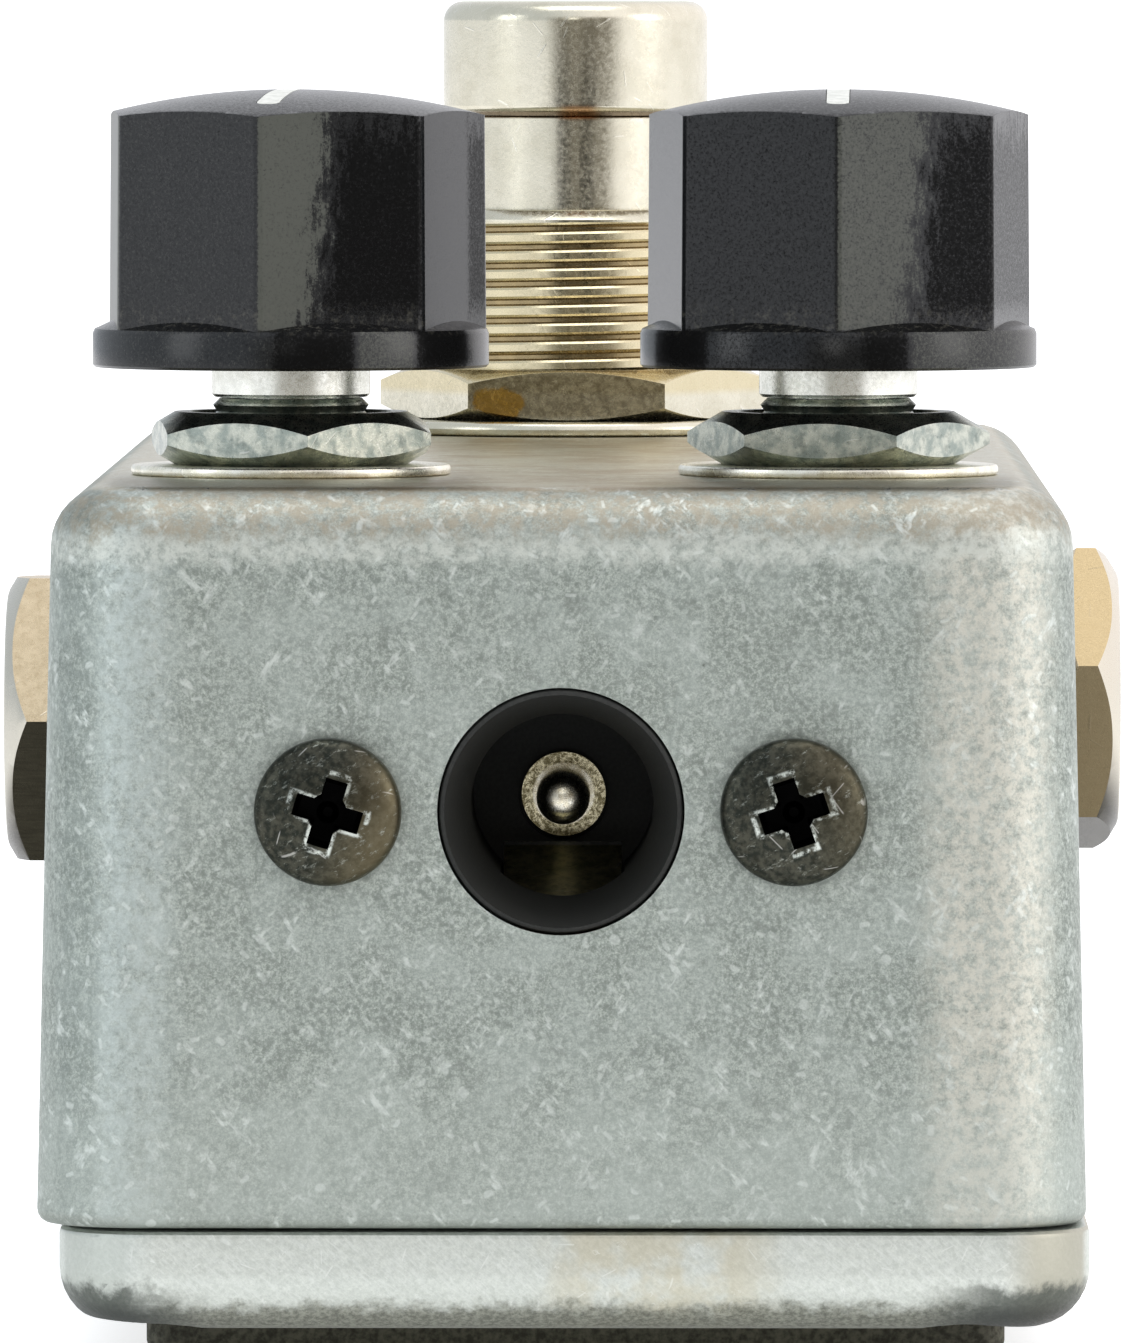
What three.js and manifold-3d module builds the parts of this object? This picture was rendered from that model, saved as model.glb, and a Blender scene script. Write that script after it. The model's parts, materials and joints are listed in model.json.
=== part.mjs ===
// Guitar effects pedal: a small die-cast case with two knobs, a footswitch, a jack socket in
// each long side and a power socket in the end wall that faces -Y.
// Sizes are in millimetres. The origin lies on the underside of the rubber pad, below the
// middle of the case, with Z up and the length of the case along Y.

import * as THREE from 'three';
import { mergeVertices } from 'three/addons/utils/BufferGeometryUtils.js';
import Module from 'manifold-3d';

const wasm = await Module();
wasm.setup();

// Case

const bodyWidth = 38.96;
const bodyLength = 92.6;
const bodyHeight = 27.3;
const draftDegrees = 1.2;
const wall = 2;
const bodyCornerRadius = 4;
const topEdgeRadius = 2.2;
const footEdgeRadius = 0.5;
const innerEdgeRadius = 1.2;
const postInset = 4.5;
const postRadius = 3;
const postHoleDepth = 12;

// Lid and pad

const lidInset = 0.365;
const lidShift = 0.475;
const lidThickness = 3.75;
const lidFloor = 2;
const lidRim = 2.4;
const lidEdgeRadius = 2.2;
const lidCornerRadius = 3.8;
const lidTopEdgeRadius = 0.3;
const lidPadRadius = 4;
const lipHeight = 1.2;
const lipThickness = 1.4;
const lipPlay = 1;
const lipEndInset = 13;
const seamGap = 0.1;
const padThickness = 1.3;
const padSideInset = 3.06;
const padSetBack = 8.4;
const padCornerRadius = 1;
const padEdgeRadius = 0.3;

// Lid screws

const lidScrewRadius = 1.45;
const lidScrewHeadRadius = 2.75;
const lidScrewHeadDepth = 1.6;
const lidScrewLength = 12;
const lidScrewHeadSink = 0.45;
const lidScrewCrossWidth = 0.75;
const lidScrewCrossSpan = 3;
const lidScrewCrossDepth = 1;

// Play between pieces

const holePlay = 0.15;
const threadPlay = 0.1;
const seatGap = 0.1;
const closeGap = 0.05;
const cutOverrun = 1;

// Potentiometers and their hardware

const potSideShare = 0.265914;
const potForwardShare = 0.64384;
const potBushingRadius = 3.5;
const potNeckRadius = 2.9;
const potNeckHeight = 0.5;
const potBushingBore = 2.1;
const potHousingWidth = 9.7;
const potHousingFront = 5.6;
const potHousingBack = 5.2;
const potHousingHeight = 5.6;
const potHousingEdge = 0.6;
const potBoreBelowPanel = 4.6;
const potBaseThickness = 1.2;
const potBaseOverhang = 2.2;
const potPinWidth = 0.9;
const potPinThickness = 0.5;
const potPinPitch = 2.5;
const potPinCount = 3;
const potPinLength = 1.6;
const potWasherRadius = 6.05;
const potWasherThickness = 0.4;
const potNutAcrossFlats = 10;
const potNutThickness = 2;
const potNutFaceRadius = 4.4;
const potNutCornerDrop = 0.8;
const potStemRadius = 1.95;
const potShaftRadius = 3;
const potShaftIntoKnob = 8;
const leftPotNutTurn = 7.7;
const rightPotNutTurn = 21.8;

// Knobs

const knobSides = 7;
const knobCornerReach = 7.42;
const knobCornerRadius = 0.45;
const knobTaperShare = 0.99;
const knobLift = 4.08;
const knobHeight = 10.5;
const knobSkirtRadius = 7.5;
const knobSkirtHeight = 1.53;
const knobSkirtEdge = 0.25;
const knobSkirtRise = 0.4;
const knobSkirtInnerRadius = 6.4;
const knobDomeRadius = 28;
const knobBoreClearance = 0.08;
const knobRecessInnerRadius = 4.3;
const knobRecessOuterRadius = 6;
const knobRecessDepth = 5;
const pointerWidth = 1.15;
const pointerStart = 5.75;
const pointerDepth = 0.45;
const leftKnobTurn = -8.3;
const rightKnobTurn = -0.8;
const setScrewRadius = 1.5;
const setScrewHeight = 3.6;
const setScrewLength = 2.6;
const setScrewSocketRadius = 0.8;
const setScrewSocketDepth = 1.1;

// Footswitch

const switchPlaceShare = 0.82073;
const switchThreadRadius = 6;
const switchThreadPitch = 0.75;
const switchThreadDepth = 0.36;
const switchBushingAbovePanel = 9.25;
const switchBushingChamfer = 0.5;
const switchBushingBore = 4.85;
const switchPlateSide = 17.4;
const switchPlateThickness = 1;
const switchHousingSide = 17;
const switchHousingHeight = 13.6;
const switchHousingEdge = 0.8;
const switchCavityRadius = 5.6;
const switchCavityDepth = 11;
const switchWasherRadius = 8.5;
const switchWasherThickness = 0.6;
const switchNutAcrossFlats = 14;
const switchNutThickness = 2.1;
const switchNutFaceRadius = 6.85;
const switchNutCornerDrop = 0.55;
const switchNutTurn = 27.3;
const innerNutThickness = 2;
const plungerBarrelRadius = 4.7;
const plungerCapRadius = 5.45;
const plungerCapHeight = 4.54;
const plungerCapAbovePanel = 13.26;
const plungerCapEdge = 0.8;
const plungerCapLowerEdge = 0.25;
const plungerGroove = 0.16;
const plungerGrooveDepth = 0.3;
const plungerFlangeRadius = 5.3;
const plungerFlangeThickness = 0.9;
const plungerStemRadius = 1.9;
const plungerStemLength = 7.2;
const terminalBaseThickness = 1.5;
const terminalPitch = 5.3;
const terminalRows = 3;
const terminalWidth = 2;
const terminalThickness = 0.8;
const terminalLength = 4;
const springRadius = 4.1;
const springWireRadius = 0.4;
const springTurns = 5;

// Side jacks

const jackBelowTop = 10.15;
const leftJackPlaceShare = 0.41901;
const rightJackPlaceShare = 0.60475;
const jackBore = 3.25;
const jackThreadRadius = 4.75;
const jackWasherRadius = 6.4;
const jackWasherThickness = 0.5;
const jackNutAcrossFlats = 11;
const jackNutThickness = 2.12;
const jackNutRimRadius = 4.85;
const jackNutCornerDrop = 0.95;
const jackNutCurveShare = 0.45;
const jackNutInnerChamfer = 0.4;
const jackNoseSink = 0.1;
const jackNoseEdge = 0.35;
const leftJackNutTurn = 1;
const rightJackNutTurn = 14.2;
const jackHousingLength = 22;
const jackHousingWidth = 12;
const jackHousingHeight = 13;
const jackHousingEdge = 0.7;
const jackHousingFloor = 1.5;
const tipSpringWidth = 3;
const tipSpringThickness = 0.4;
const tipSpringLength = 7;
const tipSpringBend = 1.1;
const tipSpringTail = 1.5;
const tipSlotHeight = 2.6;

// Power socket

const dcBelowTop = 11.9;
const dcCollarRadius = 4.5;
const dcCollarEdge = 0.2;
const dcMouthRadius = 4.05;
const dcBore = 3.45;
const dcFunnelDepth = 4.7;
const dcSocketDepth = 13.4;
const dcBodyWidth = 10.2;
const dcBodyHeight = 10.2;
const dcBodyBack = 1.9;
const dcFlangeThickness = 2;
const dcFlangeHeight = 6.6;
const dcFlangeReach = 2.9;
const dcScrewSpacing = 17.16;
const dcPinRadius = 1;
const dcPinTipDepth = 8.9;
const dcPinBaseRadius = 1.58;
const dcPinBaseWall = 0.3;
const dcPinBaseHeight = 0.5;
const dcPinTailRadius = 0.7;
const dcPinTailLength = 1.6;
const dcLeafWidth = 4.4;
const dcLeafThickness = 0.3;
const dcLeafStart = 5.6;
const dcLeafLift = 1.8;
const dcLeafTailLift = 1;
const dcLeafTailLength = 1.6;
const dcScrewRadius = 1.4;
const dcScrewHeadRadius = 2.72;
const dcScrewHeadHeight = 1.5;
const dcScrewHeadRim = 0.55;
const dcScrewLength = 7;
const dcScrewCrossSpan = 2.95;
const dcScrewCrossWidth = 0.9;
const dcScrewCrossDepth = 1.1;
const leftDcScrewTurn = 17;
const rightDcScrewTurn = -18.5;
const dcNutAcrossFlats = 5.5;
const dcNutThickness = 2.2;
const dcNutFaceRadius = 2.5;
const dcNutCornerDrop = 0.35;

// Circuit board and what it carries

const boardThickness = 1.6;
const boardSideGap = 0.8;
const boardFrontGap = 0.6;
const boardBackShare = 0.17808;
const boardNotchGap = 0.5;
const chipWidth = 6.4;
const chipLength = 9.4;
const chipHeight = 3.3;
const chipStandOff = 0.6;
const chipLegWidth = 0.5;
const chipLegPitch = 2.54;
const chipLegsPerSide = 4;
const canRadius = 2.5;
const canHeight = 6.6;
const canEdge = 0.3;
const canGrooveDepth = 0.25;
const canGrooveHeight = 1.1;
const boardPartShare = 0.26027;
const boardPartSideInset = 3.7;
const filmWidth = 7.2;
const filmLength = 2.6;
const filmHeight = 6;
const filmEdge = 0.4;

// Hook-up wires

const wireRadius = 0.55;
const wireStub = 1.2;
const wireRunBelowJacks = 1.5;
const wireSideGap = 1.9;
const wireBoardInset = 1.9;
const wireBend = 2.6;
const wireSides = 6;
const wireSteps = 16;

// Fineness of round shapes

const roundSteps = 20;
const smallRoundSteps = 12;
const threadSteps = 20;
const knobSteps = 28;
const cornerSteps = 4;
const edgeSteps = 3;
const smallEdgeSteps = 2;

// Levels and places worked out from the sizes above

const draftSlope = Math.tan(THREE.MathUtils.degToRad(draftDegrees));
const lidBottom = padThickness;
const lidTop = lidBottom + lidThickness;
const bodyFoot = lidTop + seamGap;
const panelTop = bodyFoot + bodyHeight;
const panelUnder = panelTop - wall;
const lidWidth = bodyWidth - 2 * lidInset;
const lidLength = bodyLength - 2 * lidInset;
const padWidth = lidWidth - 2 * padSideInset;
const frontFace = -bodyLength / 2;
const potSide = bodyWidth * potSideShare;
const switchY = frontFace + bodyLength * switchPlaceShare;
const leftJackY = frontFace + bodyLength * leftJackPlaceShare;
const rightJackY = frontFace + bodyLength * rightJackPlaceShare;
const jackZ = panelTop - jackBelowTop;
const dcZ = panelTop - dcBelowTop;
const postX = bodyWidth / 2 - postInset;
const postY = bodyLength / 2 - postInset;
const frontPostBack = postRadius - postY;
const leftJackFront = leftJackY - jackHousingWidth / 2;
const potLength = potHousingFront + potHousingBack + potBaseOverhang;
const freeLength = leftJackFront - frontPostBack - potLength - 2 * canRadius;
const potY = frontPostBack + freeLength * potForwardShare + potHousingFront;
const sides = [-1, 1];
const fullTurn = 2 * Math.PI;
const quarterTurn = Math.PI / 2;

function draftAt(height) {
  return (height - bodyFoot) * draftSlope;
}

// Solid helpers

function solid(geometry) {
  const bare = geometry.clone();
  bare.deleteAttribute('normal');
  bare.deleteAttribute('uv');
  const merged = mergeVertices(bare);
  const index = merged.index.array;
  const kept = [];
  for (let i = 0; i < index.length; i += 3) {
    const [a, b, c] = [index[i], index[i + 1], index[i + 2]];
    if (a !== b && b !== c && c !== a) {
      kept.push(a, b, c);
    }
  }
  return new wasm.Manifold(new wasm.Mesh({
    numProp: 3,
    vertProperties: new Float32Array(merged.attributes.position.array),
    triVerts: new Uint32Array(kept),
  }));
}

function shell(body) {
  const mesh = body.getMesh();
  const geometry = new THREE.BufferGeometry();
  const positions = new Float32Array(mesh.vertProperties);
  geometry.setAttribute('position', new THREE.BufferAttribute(positions, 3));
  geometry.setIndex(new THREE.BufferAttribute(new Uint32Array(mesh.triVerts), 1));
  geometry.computeVertexNormals();
  return geometry;
}

function join(bodies) {
  return bodies.reduce((whole, body) => whole.add(body));
}

function cut(body, tools) {
  return tools.reduce((whole, tool) => whole.subtract(tool), body);
}

// A profile of [radius, height] pairs turned about Z, from its lower end up and back
function turned(profile, steps = roundSteps) {
  const points = profile.map(([radius, height]) => new THREE.Vector2(radius, height));
  const geometry = new THREE.LatheGeometry(points, steps);
  geometry.rotateX(quarterTurn);
  return solid(geometry);
}

function rod(radius, bottom, top, steps = roundSteps) {
  return turned([[0, bottom], [radius, bottom], [radius, top], [0, top]], steps);
}

function ring(outer, inner, bottom, top, steps = roundSteps) {
  return turned([[inner, bottom], [outer, bottom], [outer, top], [inner, top], [inner, bottom]], steps);
}

function block(x0, x1, y0, y1, z0, z1) {
  const geometry = new THREE.BoxGeometry(x1 - x0, y1 - y0, z1 - z0);
  geometry.translate((x0 + x1) / 2, (y0 + y1) / 2, (z0 + z1) / 2);
  return solid(geometry);
}

// An outline of points in the XY plane pushed up along Z
function pushed(points, bottom, top) {
  const geometry = new THREE.ExtrudeGeometry(new THREE.Shape(points), {
    depth: top - bottom,
    bevelEnabled: false,
  });
  geometry.translate(0, 0, bottom);
  return solid(geometry);
}

// Rings of equally many points, lowest first, joined into a closed skin
function lofted(rings) {
  const count = rings[0].length;
  const points = rings.flat();
  const faces = [];
  for (let r = 0; r + 1 < rings.length; r += 1) {
    for (let i = 0; i < count; i += 1) {
      const next = (i + 1) % count;
      const [a, b] = [r * count + i, r * count + next];
      const [c, d] = [a + count, b + count];
      faces.push(a, b, d, a, d, c);
    }
  }
  const last = (rings.length - 1) * count;
  for (let i = 1; i + 1 < count; i += 1) {
    faces.push(0, i + 1, i);
    faces.push(last, last + i, last + i + 1);
  }
  const geometry = new THREE.BufferGeometry().setFromPoints(points);
  geometry.setIndex(faces);
  return solid(geometry);
}

function roundedRectangle(width, length, radius, height, shift = 0) {
  const points = [];
  const corners = [[1, 1], [-1, 1], [-1, -1], [1, -1]];
  corners.forEach(([sx, sy], corner) => {
    for (let i = 0; i <= cornerSteps; i += 1) {
      const angle = quarterTurn * (corner + i / cornerSteps);
      points.push(new THREE.Vector3(
        shift + sx * (width / 2 - radius) + radius * Math.cos(angle),
        sy * (length / 2 - radius) + radius * Math.sin(angle),
        height,
      ));
    }
  });
  return points;
}

// Inset and height along a rounded edge, from the flank up to the flat
function roundedEdge(radius, steps) {
  return Array.from({ length: steps + 1 }, (_, i) => {
    const angle = quarterTurn * i / steps;
    return [radius * (1 - Math.cos(angle)), radius * Math.sin(angle)];
  });
}

function bevelledBlock(width, length, bottom, top, edge) {
  const at = (height) => roundedRectangle(width, length, edge, height);
  return lofted([at(bottom), at(top)]);
}

// A hexagon prism whose first corner points to -Y
function hexPrism(acrossFlats, bottom, top) {
  const radius = acrossFlats / 2 / Math.cos(Math.PI / 6);
  const geometry = new THREE.CylinderGeometry(radius, radius, top - bottom, 6);
  geometry.rotateX(quarterTurn);
  geometry.translate(0, 0, (bottom + top) / 2);
  return solid(geometry);
}

// A hex nut whose corners are turned off by a cone at both faces
function hexNut(acrossFlats, bore, bottom, top, faceRadius, cornerDrop, steps = roundSteps) {
  const reach = acrossFlats / 2 / Math.cos(Math.PI / 6);
  const turnedDown = turned([
    [0, bottom],
    [faceRadius, bottom],
    [reach, bottom + cornerDrop],
    [reach, top - cornerDrop],
    [faceRadius, top],
    [0, top],
  ], steps);
  return hexPrism(acrossFlats, bottom, top)
    .intersect(turnedDown)
    .subtract(rod(bore, bottom - cutOverrun, top + cutOverrun, steps));
}

// Finishes, with the colours that the pieces have in daylight

function finish(color, roughness, metalness) {
  return new THREE.MeshStandardMaterial({ color, roughness, metalness });
}

const castAluminium = finish(0xa3a9a3, 0.5, 0.9);
const lidAluminium = finish(0xcfd4cd, 0.45, 0.9);
const padRubber = finish(0x1f1e1b, 0.9, 0);
const knobPlastic = finish(0x26282a, 0.25, 0);
const pointerWhite = finish(0xe8eae2, 0.5, 0);
const bareAluminium = finish(0xc4c4ba, 0.35, 1);
const zincSteel = finish(0xa9afa5, 0.35, 1);
const paleBrass = finish(0xcfc9a8, 0.35, 1);
const satinNickel = finish(0xdcd6c4, 0.25, 1);
const warmNickel = finish(0xd2bf9c, 0.3, 1);
const blackPlastic = finish(0x2a2a29, 0.55, 0);
const blackOxide = finish(0x4a463d, 0.45, 0.8);
const switchBlue = finish(0x2f5f9a, 0.5, 0);
const boardGreen = finish(0x1f5a38, 0.5, 0);
const phenolicBrown = finish(0x7a4a24, 0.7, 0);
const tinned = finish(0xc9c9c4, 0.35, 1);
const chipBlack = finish(0x1b1b1c, 0.6, 0);
const canBlue = finish(0x22345c, 0.4, 0);
const filmRed = finish(0x9a2f24, 0.45, 0);
const wireYellow = finish(0xd8b62a, 0.5, 0);
const wireGreen = finish(0x2f8a46, 0.5, 0);
const wireWhite = finish(0xdedbd2, 0.5, 0);
const wireBlue = finish(0x2b56a8, 0.5, 0);
const wireRed = finish(0xb32a22, 0.5, 0);
const wireBlack = finish(0x1d1d1d, 0.5, 0);

const pedal = new THREE.Group();

function add(name, body, material, parent = pedal) {
  const mesh = new THREE.Mesh(shell(body), material.clone());
  mesh.name = name;
  parent.add(mesh);
  return mesh;
}

// Case: a drafted shell, its posts, and a hole for all that passes through a wall

function caseRing(height, inset) {
  const total = draftAt(height) + inset;
  const radius = Math.max(bodyCornerRadius - total, innerEdgeRadius);
  return roundedRectangle(bodyWidth - 2 * total, bodyLength - 2 * total, radius, height);
}

function caseOutside() {
  const foot = roundedEdge(footEdgeRadius, smallEdgeSteps).reverse()
    .map(([inset, rise]) => caseRing(bodyFoot + footEdgeRadius - rise, inset));
  const top = roundedEdge(topEdgeRadius, edgeSteps)
    .map(([inset, rise]) => caseRing(panelTop - topEdgeRadius + rise, inset));
  return lofted([...foot, ...top]);
}

function caseInside() {
  const top = roundedEdge(innerEdgeRadius, smallEdgeSteps)
    .map(([inset, rise]) => caseRing(panelUnder - innerEdgeRadius + rise, wall + inset));
  return lofted([caseRing(bodyFoot - cutOverrun, wall), ...top]);
}

function eachPost(make) {
  return sides.flatMap((sx) => sides.map((sy) => make(sx * postX, sy * postY)));
}

function acrossX(radius, y, z) {
  return rod(radius, -bodyWidth, bodyWidth).rotate([0, 90, 0]).translate([0, y, z]);
}

function throughFront(radius, x, z) {
  return rod(radius, -2 * wall, 2 * wall).rotate([90, 0, 0]).translate([x, frontFace + wall / 2, z]);
}

function throughPanel(radius, x, y) {
  return rod(radius, panelUnder - cutOverrun, panelTop + cutOverrun).translate([x, y, 0]);
}

function sideHalf(side) {
  const [inner, outer] = side < 0 ? [-bodyWidth, 0] : [0, bodyWidth];
  return block(inner, outer, -bodyLength, bodyLength, 0, panelTop);
}

function enclosureBody() {
  const posts = eachPost((x, y) => rod(postRadius, bodyFoot, panelUnder + wall / 4, smallRoundSteps)
    .translate([x, y, 0]));
  const postHoles = eachPost((x, y) => rod(
    lidScrewRadius + threadPlay,
    bodyFoot - cutOverrun,
    bodyFoot + postHoleDepth,
    smallRoundSteps,
  ).translate([x, y, 0]));
  return cut(join([caseOutside().subtract(caseInside()), ...posts]), [
    ...postHoles,
    ...sides.map((side) => throughPanel(potBushingRadius + holePlay, side * potSide, potY)),
    throughPanel(switchThreadRadius + holePlay, 0, switchY),
    acrossX(jackThreadRadius + holePlay, leftJackY, jackZ).intersect(sideHalf(-1)),
    acrossX(jackThreadRadius + holePlay, rightJackY, jackZ).intersect(sideHalf(1)),
    throughFront(dcCollarRadius + holePlay, 0, dcZ),
    ...sides.map((side) => throughFront(dcScrewRadius + holePlay, side * dcScrewSpacing / 2, dcZ)),
  ]);
}

add('enclosure_body', enclosureBody(), castAluminium);

// Lid: a shallow tray with a pad at each screw and a lip that enters the case

function lidRing(height, inset) {
  const radius = Math.max(lidCornerRadius - inset, lidTopEdgeRadius);
  return roundedRectangle(lidWidth - 2 * inset, lidLength - 2 * inset, radius, height, lidShift);
}

function basePlate() {
  const bottomEdge = roundedEdge(lidEdgeRadius, edgeSteps).reverse()
    .map(([inset, rise]) => lidRing(lidBottom + lidEdgeRadius - rise, inset));
  const topEdge = roundedEdge(lidTopEdgeRadius, smallEdgeSteps)
    .map(([inset, rise]) => lidRing(lidTop - lidTopEdgeRadius + rise, inset));
  const outside = lofted([...bottomEdge, ...topEdge]);
  const pocket = lofted([lidRing(lidBottom + lidFloor, lidRim), lidRing(lidTop + cutOverrun, lidRim)]);
  const pads = eachPost((x, y) => rod(lidPadRadius, lidBottom + lidFloor / 2, lidTop, smallRoundSteps)
    .translate([x, y, 0])
    .intersect(outside));
  const lipX = bodyWidth / 2 - wall - lipPlay;
  const lipY = bodyLength / 2 - wall - lipPlay;
  const [lipLow, lipHigh] = [lidBottom + lidFloor / 2, lidTop + lipHeight];
  const sideLips = sides.map((side) => block(
    lidShift + Math.min(side * lipX, side * (lipX - lipThickness)),
    lidShift + Math.max(side * lipX, side * (lipX - lipThickness)),
    lipEndInset - bodyLength / 2,
    bodyLength / 2 - lipEndInset,
    lipLow,
    lipHigh,
  ));
  const endLips = sides.map((side) => block(
    lidShift + lipEndInset - bodyWidth / 2,
    lidShift + bodyWidth / 2 - lipEndInset,
    Math.min(side * lipY, side * (lipY - lipThickness)),
    Math.max(side * lipY, side * (lipY - lipThickness)),
    lipLow,
    lipHigh,
  ));
  const screwHoles = eachPost((x, y) => turned([
    [0, lidBottom - cutOverrun],
    [lidScrewHeadRadius + holePlay, lidBottom - cutOverrun],
    [lidScrewHeadRadius + holePlay, lidBottom + lidScrewHeadSink],
    [lidScrewRadius + holePlay, lidBottom + lidScrewHeadSink + lidScrewHeadDepth],
    [lidScrewRadius + holePlay, lidTop + cutOverrun],
    [0, lidTop + cutOverrun],
  ], smallRoundSteps).translate([x, y, 0]));
  return cut(join([outside.subtract(pocket), ...pads, ...sideLips, ...endLips]), screwHoles);
}

add('base_plate', basePlate(), lidAluminium);

function rubberPad() {
  const length = bodyLength - 2 * padSetBack;
  const at = (height, inset) => roundedRectangle(
    padWidth - 2 * inset,
    length - 2 * inset,
    padCornerRadius,
    height,
    lidShift,
  );
  return lofted([at(0, padEdgeRadius), at(padEdgeRadius, 0), at(padThickness, 0)]);
}

add('rubber_pad', rubberPad(), padRubber);

// Two crossed slots, cut down from a given level
function crossRecess(span, width, bottom, top) {
  const arm = block(-span / 2, span / 2, -width / 2, width / 2, bottom, top);
  return arm.add(arm.rotate([0, 0, 90]));
}

function lidScrew() {
  const bottom = lidBottom + lidScrewHeadSink;
  const body = turned([
    [0, bottom],
    [lidScrewHeadRadius, bottom],
    [lidScrewRadius, bottom + lidScrewHeadDepth],
    [lidScrewRadius, bottom + lidScrewLength - lidScrewRadius / 2],
    [lidScrewRadius / 2, bottom + lidScrewLength],
    [0, bottom + lidScrewLength],
  ], smallRoundSteps);
  return body.subtract(crossRecess(
    lidScrewCrossSpan,
    lidScrewCrossWidth,
    bottom - cutOverrun,
    bottom + lidScrewCrossDepth,
  ));
}

eachPost((x, y) => [x, y]).forEach(([x, y], i) => {
  add(`lid_screw_${i + 1}`, lidScrew(), blackOxide).position.set(x, y, 0);
});

// Potentiometers, each in a group whose origin is on the panel at the shaft's axis

const potNutBottom = potWasherThickness;
const potNutTop = potNutBottom + potNutThickness;
const potNeckTop = potNutTop + potNeckHeight;
const potHousingTop = -wall - seatGap;
const potHousingBottom = potHousingTop - potHousingHeight;
const potBaseBottom = potHousingBottom - potBaseThickness;
const potBoreBottom = potHousingTop - potBoreBelowPanel;
const boardTop = panelTop + potBaseBottom - potPinLength;
const boardBottom = boardTop - boardThickness;

function potBody() {
  const housing = bevelledBlock(
    potHousingWidth,
    potHousingFront + potHousingBack,
    potHousingBottom,
    potHousingTop,
    potHousingEdge,
  ).translate([0, (potHousingBack - potHousingFront) / 2, 0]);
  const bushing = turned([
    [0, potHousingTop - potHousingEdge],
    [potBushingRadius, potHousingTop - potHousingEdge],
    [potBushingRadius, potNutTop],
    [potNeckRadius, potNutTop],
    [potNeckRadius, potNeckTop],
    [0, potNeckTop],
  ]);
  return housing.add(bushing).subtract(rod(potBushingBore, potBoreBottom, potNeckTop + cutOverrun));
}

function potBase() {
  const back = potHousingBack + potBaseOverhang;
  const plate = block(
    -potHousingWidth / 2,
    potHousingWidth / 2,
    -potHousingFront,
    back,
    potBaseBottom,
    potHousingBottom,
  );
  const pins = Array.from({ length: potPinCount }, (_, i) => {
    const x = potPinPitch * (i - (potPinCount - 1) / 2);
    return block(
      x - potPinWidth / 2,
      x + potPinWidth / 2,
      back - potPinThickness - potHousingEdge,
      back - potHousingEdge,
      boardTop - panelTop,
      potHousingBottom - potBaseThickness / 2,
    );
  });
  return join([plate, ...pins]);
}

function potShaft() {
  return turned([
    [0, potBoreBottom + closeGap],
    [potStemRadius, potBoreBottom + closeGap],
    [potStemRadius, potNeckTop + closeGap],
    [potShaftRadius, potNeckTop + closeGap],
    [potShaftRadius, knobLift + potShaftIntoKnob],
    [0, knobLift + potShaftIntoKnob],
  ]);
}

const knobSkirtTop = knobLift + knobSkirtHeight;
const knobTop = knobLift + knobHeight;
const domeCentre = knobTop - knobDomeRadius;

// The knob's outline at one height: a polygon with rounded corners, one corner at -Y
function knobRing(height, share) {
  const reach = knobCornerReach * share;
  const half = Math.PI / knobSides;
  const centreReach = reach - knobCornerRadius / Math.cos(half);
  const points = [];
  for (let side = 0; side < knobSides; side += 1) {
    const corner = fullTurn * side / knobSides - quarterTurn;
    for (let i = 0; i <= smallEdgeSteps; i += 1) {
      const angle = corner + half * (2 * i / smallEdgeSteps - 1);
      points.push(new THREE.Vector3(
        centreReach * Math.cos(corner) + knobCornerRadius * Math.cos(angle),
        centreReach * Math.sin(corner) + knobCornerRadius * Math.sin(angle),
        height,
      ));
    }
  }
  return points;
}

function domeProfile(drop) {
  const reach = knobSkirtRadius + cutOverrun;
  const steps = edgeSteps + 1;
  return Array.from({ length: steps + 1 }, (_, i) => {
    const radius = reach * (1 - i / steps);
    return [radius, domeCentre - drop + Math.sqrt(knobDomeRadius ** 2 - radius ** 2)];
  });
}

function knobUnderDome(drop) {
  const floor = [[0, knobLift], [knobSkirtRadius + cutOverrun, knobLift]];
  return turned([...floor, ...domeProfile(drop)], knobSteps);
}

function knobSolid() {
  const flanks = lofted([knobRing(knobSkirtTop, 1), knobRing(knobTop, knobTaperShare)])
    .intersect(knobUnderDome(0));
  const skirt = turned([
    [0, knobLift],
    [knobSkirtRadius, knobLift],
    [knobSkirtRadius, knobSkirtTop - knobSkirtEdge],
    [knobSkirtRadius - knobSkirtEdge, knobSkirtTop],
    [knobSkirtInnerRadius, knobSkirtTop + knobSkirtRise],
    [0, knobSkirtTop + knobSkirtRise],
  ], knobSteps);
  return flanks.add(skirt);
}

function pointerSlot(clearance) {
  return block(
    -pointerWidth / 2 - clearance,
    pointerWidth / 2 + clearance,
    -pointerStart - clearance,
    clearance,
    knobLift + knobHeight / 2,
    knobTop + cutOverrun,
  );
}

function setScrewHole(radius, from, to) {
  return rod(radius, from, to, smallRoundSteps).rotate([-90, 0, 0])
    .translate([0, 0, knobSkirtTop + setScrewHeight]);
}

function knob() {
  const recess = ring(
    knobRecessOuterRadius,
    knobRecessInnerRadius,
    knobLift - cutOverrun,
    knobLift + knobRecessDepth,
  );
  const boreTop = knobLift + potShaftIntoKnob + seatGap;
  return cut(knobSolid(), [
    rod(potShaftRadius + knobBoreClearance, knobLift - cutOverrun, boreTop),
    recess,
    pointerSlot(closeGap).subtract(knobUnderDome(pointerDepth + closeGap)),
    setScrewHole(setScrewRadius + threadPlay, potShaftRadius, knobSkirtRadius + cutOverrun),
  ]);
}

function knobPointer() {
  return knobSolid().intersect(pointerSlot(0)).subtract(knobUnderDome(pointerDepth));
}

function setScrew() {
  const from = potShaftRadius + knobBoreClearance;
  const to = from + setScrewLength;
  const socket = setScrewHole(setScrewSocketRadius, to - setScrewSocketDepth, to + cutOverrun);
  return setScrewHole(setScrewRadius, from, to).subtract(socket);
}

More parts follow.
